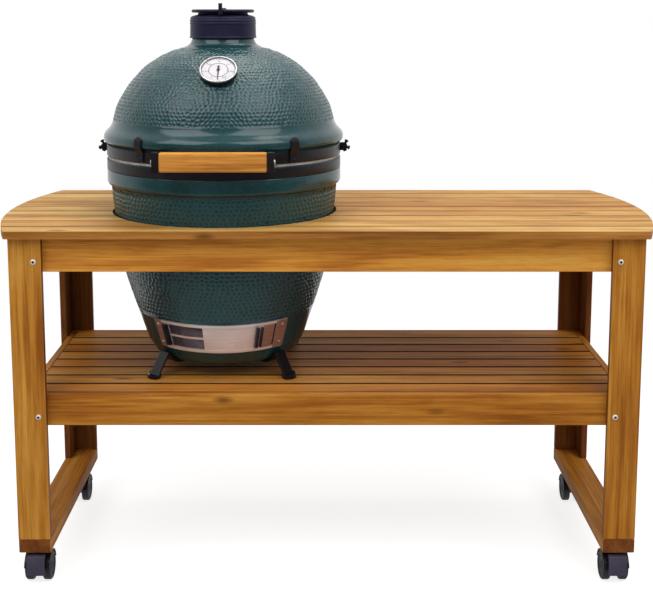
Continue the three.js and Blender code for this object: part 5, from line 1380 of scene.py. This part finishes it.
tab = prism(rounded(rect(-77, -69, 53, 80), 1.8, 3), -4.25, 4.25, "X")
disc_blank = keep("disc_blank", turned(disc_line, 144).at(KETTLE_X, 0, CAP_FOOT))
cap_holes = holes_round(VENT_CIRCLE, VENT_HOLES, CAP_FOOT + 59)
disc_holes = holes_round(VENT_CIRCLE, VENT_HOLES, CAP_FOOT + 63.5, turn=0.5)
cap = grown("vent_cap_iron", drill_tree, spots("cap_holes", cap_holes), smooth=32, Blank=cap_blank,
            Radius=VENT_HOLE * MM, Depth=0.008, Sides=32)
settle(cap, cap_iron, "vent_cap")
disc = grown("damper_plate", drill_tree, spots("disc_holes", disc_holes), smooth=32, Blank=disc_blank,
             Radius=VENT_HOLE * MM, Depth=0.012, Sides=32)
dress(disc, cap_iron, "damper", "iron")
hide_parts("damper_disc")
dress(keep("damper_tab", tab.at(KETTLE_X, 0, CAP_FOOT), 0.6), hood_plastic, "damper", "iron")
for leftover in (cap_blank, disc_blank):
    bpy.data.objects.remove(leftover)
print("vent: cap, disc, tab")

# %% [markdown]
# ## Thermometer
# A round case with a bright bezel stands square to the dome, its stem through the lid. The dial is white
# enamel with a printed ring of ticks and numbers. A tick is a thin block turned about the dial's middle, and
# the numbers are text made into thin meshes, laid on the enamel.

# %% Thermometer case
DIAL_PLACE = Vector((-238.0, -190.69, 1148.56))
DIAL_LEAN = 40.97  # degrees from level
dial_matrix = Matrix.Translation(DIAL_PLACE) @ Matrix.Rotation(math.radians(DIAL_LEAN), 4, "X")
case_line = rounded([(0, -70), (3.5, -70), (3.5, -2), (34, -2), (40.6, 0.5), (40.6, 10.9), (38.6, 11.3), (38.6, 9.5),
                     (1, 9.5), (1, 13.4), (0, 13.4)], 0.9, 3, False)
bezel_line = rounded([(38.6, 11.0), (41.5, 11.0), (41.5, 13.0), (40, 14.5), (38.6, 14.5)], 0.7, 3)
case = keep("thermometer_case_turned", turned(case_line, 96).moved(dial_matrix), smooth=40)
settle(case, hood_plastic, "thermometer_case")
dress(keep("thermometer_bezel", turned(bezel_line, 96).moved(dial_matrix), smooth=40), bright, "lid", "stainless")
print("thermometer case: leans", DIAL_LEAN, "degrees")

# %% Thermometer dial
DIAL_TOP = 10.7
PRINT = 0.06  # thickness of the ink
dial_shape = turned(rounded(rect(1.3, 38.2, 9.6, DIAL_TOP), 0.3, 2), 96)


def printed_ring(inner, outer):
    """A thin circle of ink."""
    return turned(rect(inner, outer, DIAL_TOP, DIAL_TOP + PRINT), 96)


def tick(angle, inner, outer, width):
    """A mark of ink along the dial's radius."""
    mark = block((-width / 2, inner, DIAL_TOP), (width / 2, outer, DIAL_TOP + PRINT))
    return mark.spun(-angle)


def number(text, angle, radius, size):
    """A number's outline as a thin mesh, upright at its place on the dial."""
    curve = bpy.data.curves.new("number", "FONT")
    curve.body, curve.size, curve.align_x, curve.align_y = text, size, "CENTER", "CENTER"
    curve.resolution_u = 2
    holder = bpy.data.objects.new("number", curve)
    scene.collection.objects.link(holder)
    graph = bpy.context.evaluated_depsgraph_get()
    mesh = bpy.data.meshes.new_from_object(holder.evaluated_get(graph))
    bpy.data.objects.remove(holder)
    a = math.radians(angle)
    centre = Vector((radius * math.sin(a), radius * math.cos(a), DIAL_TOP + PRINT))
    return Shape([v.co + centre for v in mesh.vertices], [tuple(p.vertices) for p in mesh.polygons])


SCALE_FROM, SCALE_TO, SCALE_MARKS = -150, 150, 30
marks = printed_ring(36.4, 37.3) + printed_ring(20.6, 21.8)
for i in range(SCALE_MARKS + 1):
    angle = SCALE_FROM + (SCALE_TO - SCALE_FROM) * i / SCALE_MARKS
    long_mark = i % 5 == 0
    marks += tick(angle, 31.8 if long_mark else 33.8, 36.6, 1.3 if long_mark else 0.7)
    marks += tick(angle, 19.2 if long_mark else 20.2, 20.8, 0.8)
for i in range(0, SCALE_MARKS + 1, 5):
    angle = SCALE_FROM + (SCALE_TO - SCALE_FROM) * i / SCALE_MARKS
    marks += number(str(i * 10), angle, 26.8, 6.4)
print("dial marks:", SCALE_MARKS + 1)

# %% Dial, print and needle
plain_dial = keep("thermometer_dial_enamel", dial_shape.moved(dial_matrix), smooth=40)
settle(plain_dial, enamel, "thermometer_dial")
dress(keep("thermometer_dial_print", marks.moved(dial_matrix)), ink, "lid", "dial_white")

needle_line = [(-2.4, 12.5), (-1.5, 2), (-0.8, -30.5), (0.8, -30.5), (1.5, 2), (2.4, 12.5)]
needle = prism(needle_line, 11.7, 12.5) + turned(rect(1.3, 3.4, 11.7, 12.9), 24)
settle(keep("thermometer_needle_fine", needle.moved(dial_matrix), 0.15), ink, "thermometer_needle")
print("thermometer: case, dial, print, needle")

# %% [markdown]
# ## Draft door
# Low in front, a curved steel frame follows the bowl. A plain panel and a framed mesh screen slide round in
# it, one behind the other, each with a pull. All are strips bent about the kettle's axis and offset from the
# bowl's outline, and then lifted towards their ends: on the real object they curve up a little on both sides.

# %% Strips on the bowl
def skin(offset, height):
    """A point of a section, some way out from the bowl."""
    return (radius_at(height) + offset, height)


def strip(near, far, low, high):
    """A sheet's section between two distances from the bowl."""
    return [skin(near, low), skin(far, low), skin(far, high), skin(near, high)]


def channel(edge, way):
    """A lip's section: a channel open upwards (way 1) or downwards (way -1)."""
    wall, inside = edge + way * 1.4, edge + way * 6.4
    return [skin(0.6, edge), skin(8.0, edge), skin(8.0, inside), skin(6.6, inside), skin(6.6, wall), skin(2.0, wall),
            skin(2.0, inside), skin(0.6, inside)]


FRAME_LOW, FRAME_HIGH, FRAME_ANGLE, POST_INNER, COVER_FROM = 515.5, 584.5, 44.6, 38.6, 36.2
WINDOW_BOTTOM, WINDOW_TOP = 522.5, 577.5  # of the screen's windows
GRIP_LOW, GRIP_HIGH = 524.4, 575.2
DOOR_LOW, DOOR_HIGH = 519.3, 580.2
CURVE = 4.5  # how much higher the frame's ends stand than its middle


def lifted(degrees):
    """How much higher a strip stands at an angle than in front."""
    return CURVE * (degrees / FRAME_ANGLE) ** 2


def curved(shape):
    """Lifts a bent strip towards its ends, along the bowl's slope, and sets it at the kettle's place."""
    corners = []
    for c in shape.corners:
        lift = lifted(math.degrees(math.atan2(c.x, -c.y)))
        spread = 1 + lift * (radius_at(600) - radius_at(520)) / 80 / math.hypot(c.x, c.y)
        corners.append((c.x * spread + KETTLE_X, c.y * spread, c.z + lift))
    return Shape(corners, shape.faces)


print("strips: skin, strip, channel, curved")

# %% [markdown]
# The frame is two channels that the sheets run in, a solid end plate on the left, and on the right a cover
# plate that the door slides under.

# %% Draft frame
LIP_END, INSET = 43.9, 0.3  # degrees; how far the right plates stay back from the lips' edges
plate_low, plate_high = FRAME_LOW + INSET, FRAME_HIGH - INSET
lips = bent(channel(FRAME_LOW, 1), -POST_INNER, LIP_END, 60) + bent(channel(FRAME_HIGH, -1), -POST_INNER, LIP_END, 60)
plates = bent(strip(0.6, 8.01, FRAME_LOW, FRAME_HIGH), -FRAME_ANGLE, -POST_INNER, 6)
plates += bent(strip(6.61, 8.01, plate_low, plate_high), COVER_FROM, FRAME_ANGLE, 10)
plates += bent(strip(0.6, 6.7, plate_low, plate_high), LIP_END, FRAME_ANGLE, 1)
settle(keep("draft_frame_lips", curved(lips), 0.5, 2, 40), lip_steel, "draft_frame")
dress(keep("draft_frame_plates", curved(plates), 0.5, 2, 40), bronze, "table", "stainless")
print("draft frame: from", -FRAME_ANGLE, "to", FRAME_ANGLE, "degrees")

# %% [markdown]
# The door's right end, which slides under the cover, is tinted brown by heat: its faces take the darker
# steel. A bright strip stiffens its left edge, and two black pulls stand on it.

# %% Draft door
DOOR_FROM, DOOR_TO = -10.3, 35.6  # degrees
TINT_FROM = 28.0  # degrees


def pull(near, far, angle, half=1.0):
    """A thin upright grip on a sheet."""
    return bent(rounded(strip(near, far, GRIP_LOW, GRIP_HIGH), 2.5, 3), angle - half, angle + half, 2)


def heat_tinted(face):
    """Finish 1 for the faces near the door's right end."""
    return int(math.degrees(math.atan2(face.center.x - KETTLE_X * MM, -face.center.y)) > TINT_FROM)


panel = bent(strip(4.6, 6.0, DOOR_LOW, DOOR_HIGH), DOOR_FROM, DOOR_TO, 36)
door = keep("draft_door_panel", curved(panel), 0.3, 2, 40)
settle(by_face(door, heat_tinted), steel, "draft_door", bronze)
stiffener = bent(strip(4.5, 6.5, DOOR_LOW, DOOR_HIGH), DOOR_FROM, -9.5, 2)
dress(keep("draft_door_edge", curved(stiffener), 0.3), lip_steel, "draft_door", "stainless")
door_pulls = curved(pull(6.0, 17, 23.6, 0.8) + pull(6.0, 14, 26.6, 0.5))
dress(keep("draft_door_pull", door_pulls, 0.4), hood_plastic, "draft_door", "stainless")

print("draft door: panel, edge, 2 pulls")

# %% [markdown]
# The screen's frame is three rails and two posts, which leave two long windows. Behind them stretches a mesh
# of wires along and across, laid by the wire tree.

# %% Draft screen
BAR = 5.0  # the middle rail's height
SCREEN_FROM, SCREEN_TO = -38.0, 0.5  # degrees
middle = (WINDOW_BOTTOM + WINDOW_TOP) / 2
rails = ((4.0, DOOR_LOW, WINDOW_BOTTOM + 1), (4.0, WINDOW_TOP - 1, DOOR_HIGH),
         (4.4, middle - BAR / 2, middle + BAR / 2))
screen = Shape()
for front, low, high in rails:
    screen += bent(strip(2.6, front, low, high), SCREEN_FROM, SCREEN_TO, 36)
for start, end in ((SCREEN_FROM, -34.0), (-0.8, SCREEN_TO)):
    screen += bent(strip(2.61, 4.01, WINDOW_BOTTOM - 0.01, WINDOW_TOP + 0.01), start, end, 4)
settle(keep("draft_screen_panel", curved(screen), 0.2, 2, 40), steel, "draft_screen")
dress(keep("draft_screen_pull", curved(pull(4.0, 17, -35.6)), 0.4), hood_plastic, "draft_screen", "stainless")
print("draft screen: 3 rails, 2 posts, 1 pull")

# %% Screen mesh
MESH_PITCH, MESH_WIRE = 2.4, 0.45
MESH_FROM, MESH_SPAN = -36.0, 36.2  # degrees


def threads():
    """Lines of the mesh: rows round the kettle and columns up it, as one mesh of edges."""
    corners, edges = [], []

    def line(points):
        edges.extend((len(corners) + i, len(corners) + i + 1) for i in range(len(points) - 1))
        corners.extend(Vector(p) * MM for p in points)

    def on_wall(degrees, height, depth):
        height += lifted(degrees)
        return on_kettle(radius_at(height) + depth, degrees, height)

    rows = round((WINDOW_TOP - WINDOW_BOTTOM) / MESH_PITCH)
    for i in range(rows + 1):
        height = WINDOW_BOTTOM + (WINDOW_TOP - WINDOW_BOTTOM) * i / rows
        line([on_wall(MESH_FROM + MESH_SPAN * k / 30, height, 3.4) for k in range(31)])
    columns = round(math.radians(-MESH_FROM) * radius_at(middle) / MESH_PITCH)
    for i in range(columns + 1):
        degrees = MESH_FROM + MESH_SPAN * i / columns
        line([on_wall(degrees, WINDOW_BOTTOM + (WINDOW_TOP - WINDOW_BOTTOM) * k / 2, 3.0) for k in range(3)])
    mesh = bpy.data.meshes.new("threads")
    mesh.from_pydata(corners, edges, [])
    return mesh


screen_mesh = grown("draft_screen_mesh", wire_tree, threads(), smooth=60, Wire_radius=MESH_WIRE * MM, Sides=5)
dress(screen_mesh, mesh_steel, "draft_screen", "stainless")
post_screws = [(on_kettle(radius_at(height) + 8, angle, height), outward(angle, -0.33))
               for angle in (-41.6, 41.0) for height in (532, 576)]
fasten("door_screws", dome_head(3.4, 1.6, 1.2), post_screws, bright, "table", "stainless")
print("screen mesh, frame screws:", len(post_screws))

# %% [markdown]
# ## Nest
# The kettle stands in a steel cradle: a flat ring and four bent straps with thick, turned-up toes that are
# wider than the straps. Strap and toe are tongues, like the clips, and the four are turns of the same one.

# %% Nest
STRAP_THICK, STRAP_WIDTH = 5.0, 29.0
CLEARANCE = 0.3  # between the kettle and its nest
under = 478 - CLEARANCE - STRAP_THICK / 2
crest = radius_at(500) + STRAP_THICK
strap_path = [(100, under), (148, under), (radius_at(481.7) + 5, 479.2), (radius_at(489) + 5, 486.5), (crest, 500),
              (crest + 5, 500), (crest + 33.5, 455.5), (crest + 38.5, 448.5), (crest + 51, 448.5)]
strap = tongue(smooth_line(strap_path[:-1], 4), STRAP_THICK, STRAP_WIDTH / 2, 1.0)
toe_path = [(crest + 32, 458.2), (crest + 34.5, 454.5), (crest + 38, 451.2), (crest + 43, 450.4),
            (crest + 51.2, 451.2)]
strap += tongue(smooth_line(toe_path, 1.5), 9.0, 18.5, 14.0)
ring = turned(rounded(rect(96, 122, under - STRAP_THICK / 2, under + STRAP_THICK / 2), 1, 2), 96)
for i in range(4):
    ring += strap.spun(45 + 90 * i)
settle(keep_round("nest_straps", ring, 2.0, 4, 40), gloss_black, "nest")
print("nest: ring and 4 straps")

# %% [markdown]
# ## Casters
# Four twin-wheel casters: a moulded hood arches over two wheels on one axle, and a stem goes up into the
# foot board. The front two have a brake pedal. Wheels are turned with rounded treads and a sunk hub.

# %% Casters
WHEEL, WHEEL_WIDTH, WEB = 32.0, 17.5, 21.0  # radius, width, and the hood's web between the wheels


def wheel():
    """One wheel about X, its outer side towards +X."""
    w = WHEEL_WIDTH
    outline = rounded([(4.8, 0), (WHEEL - 1, 0), (WHEEL, 3), (WHEEL, w - 3), (29, w), (25, w), (24, w - 2.5),
                       (13, w - 2.5), (12, w - 0.8), (8, w - 0.8), (7, w - 2.2), (0, w - 2.2)], 1.0, 3, False)
    return turned([(0, 0.2)] + outline, 64).spun(90, "Y")


for node in [n for n in frame["nodes"] if n.startswith("caster_wheels_")]:
    low, high = (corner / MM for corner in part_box(node))
    centre = (low + high) / 2
    right_wheel = wheel().at(x=WEB / 2 + 1)
    left_wheel = wheel().spun(180, "Z").at(x=-WEB / 2 - 1)
    axle = turned(rect(0, 4.9, -15, 15), 24).spun(90, "Y")
    pair = (right_wheel + left_wheel + axle).at(*centre)
    settle(keep(node.replace("wheels", "twin_wheels"), pair, smooth=40), tread, node)
    where = node.replace("caster_wheels_", "")
    hood_node = "caster_hood_" + where
    settle(copied(hood_node, 0.5, 2, 28), hood_plastic, hood_node)
    if "front" in where:
        pedal_node = "brake_pedal_" + where
        settle(copied(pedal_node, 1.0, 3, 32), pedal_plastic, pedal_node)
print("casters: 4, pedals: 2")

# %% [markdown]
# ## Light
# A product like this is shot on white, between two large soft boxes and under a third. Large boxes give soft
# shadows and broad, calm lights on the glaze. Small lamps would put a hard dot on every dimple.

# %% Lamps
def area_light(name, place, target, size, watts):
    """A rectangular lamp that looks at a target."""
    lamp = bpy.data.lights.new(name, "AREA")
    lamp.shape, lamp.size, lamp.size_y, lamp.energy = "RECTANGLE", size[0], size[1], watts
    holder = bpy.data.objects.new(name, lamp)
    holder.location = place
    holder.rotation_euler = (Vector(target) - Vector(place)).to_track_quat("-Z", "Y").to_euler()
    scene.collection.objects.link(holder)


area_light("left box", (-2.2, -2.1, 3.9), (-0.2, 0, 0.8), (3.0, 3.0), 78)
area_light("right box", (1.9, -2.2, 3.9), (-0.2, 0, 0.8), (3.0, 3.0), 82)
area_light("top box", (0.2, 0.5, 3.4), (0, 0, 0.8), (2.2, 1.4), 30)
print("lamps: 3")

# %% [markdown]
# ## The white room
# Light Path tells which ray asks. To the camera the world is plain white. In reflections its front is dark
# and its back and ceiling are bright, so the dome stays deep in its middle and lights up towards its edges.
# On matt surfaces it is a weak fill, a little stronger from the front.

# %% World
WHITE = (1, 1, 1, 1)
FRONT_SHADE = 0.20  # how bright the room's dark front is in reflections
FILL_FRONT, FILL_BACK = 0.62, 0.16  # the world's light on matt surfaces


def emptied(owner):
    """The cleared node tree of a world or a material."""
    owner.use_nodes = True
    owner.node_tree.nodes.clear()
    return owner.node_tree


def asking_ray(tree):
    """1 for a ray that mirrors, and 1 for a ray that the camera sends."""
    rays = put(tree, "ShaderNodeLightPath").outputs
    return rays["Is Glossy Ray"], calc(tree, "MAXIMUM", rays["Is Camera Ray"], rays["Is Transmission Ray"])


def lit(tree, kind, strength, colour=WHITE):
    """A Background or an Emission."""
    return put(tree, kind, {"Color": colour, "Strength": strength})


def either(tree, factor, first, second):
    """The first shader where the factor is 0, the second where it is 1."""
    return put(tree, "ShaderNodeMixShader", {0: factor, 1: first, 2: second})


scene.world = bpy.data.worlds.new("white studio")
tree = emptied(scene.world)
mirrors, seen = asking_ray(tree)
way = put(tree, "ShaderNodeSeparateXYZ", {"Vector": put(tree, "ShaderNodeTexCoord").outputs["Generated"]}).outputs
behind = graded(tree, way["Y"], (-0.55, 0.45), (FRONT_SHADE, 1.0), interpolation_type="SMOOTHSTEP")
overhead = graded(tree, way["Z"], (0.35, 0.95), (0.0, 0.5), interpolation_type="SMOOTHSTEP")
plain = lit(tree, "ShaderNodeBackground", graded(tree, way["Y"], (-1.0, 0.2), (FILL_FRONT, FILL_BACK)))
mirrored = lit(tree, "ShaderNodeBackground", calc(tree, "MAXIMUM", behind, overhead))
indirect = either(tree, mirrors, plain, mirrored)
put(tree, "ShaderNodeOutputWorld", {"Surface": either(tree, seen, indirect, lit(tree, "ShaderNodeBackground", 1.0))})
print("world: white to the camera,", FRONT_SHADE, "in front in reflections")

# %% [markdown]
# ## The floor
# The floor is a large matt plane that glows just enough to look white under the lamps and still take a
# shadow. From one to three metres out it fades into the room's white, so no horizon shows. In reflections it
# is graded from dark in front to bright behind, which keeps the bowl's underside deep.

# %% Floor
FLOOR = 30.0  # half of the plane's side, in metres
FLOOR_GLOW = 0.80
floor_white = bpy.data.materials.new("white floor")
tree = emptied(floor_white)
mirrors, seen = asking_ray(tree)
place = put(tree, "ShaderNodeTexCoord").outputs["Object"]
matt = put(tree, "ShaderNodeBsdfDiffuse", {"Color": (0.5, 0.5, 0.5, 1)})
glowing = put(tree, "ShaderNodeAddShader", {0: matt, 1: lit(tree, "ShaderNodeEmission", FLOOR_GLOW)})
near = either(tree, seen, matt, glowing)
far = put(tree, "ShaderNodeVectorMath", {0: place}, operation="LENGTH").outputs["Value"]
fade = calc(tree, "MULTIPLY", graded(tree, far, (1.0, 3.0)), seen)
floor_mix = either(tree, fade, near, lit(tree, "ShaderNodeEmission", 1.0))
along = graded(tree, put(tree, "ShaderNodeSeparateXYZ", {"Vector": place}).outputs["Y"], (-3.0, 1.0))
sheen = ramp(tree, along, (0.0, 0.12), (0.3, 0.16), (0.47, 0.5), (0.65, 0.5), (0.875, 0.9))
mirrored = lit(tree, "ShaderNodeEmission", 1.0, sheen)
put(tree, "ShaderNodeOutputMaterial", {"Surface": either(tree, mirrors, floor_mix, mirrored)})

floor_mesh = bpy.data.meshes.new("floor")
floor_mesh.from_pydata([(x, y, 0) for x, y in rect(-FLOOR, FLOOR, -FLOOR, FLOOR)], [], [(0, 1, 2, 3)])
floor_mesh.materials.append(floor_white)
floor = bpy.data.objects.new("floor", floor_mesh)
scene.collection.objects.link(floor)
scene.view_settings.view_transform = "Standard"
print("floor: matt near the table, white further out")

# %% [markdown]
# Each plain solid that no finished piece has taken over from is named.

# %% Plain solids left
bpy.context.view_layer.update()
for node in [n for n in frame["nodes"].values() if not n.hide_render]:
    print("still plain:", node.name)
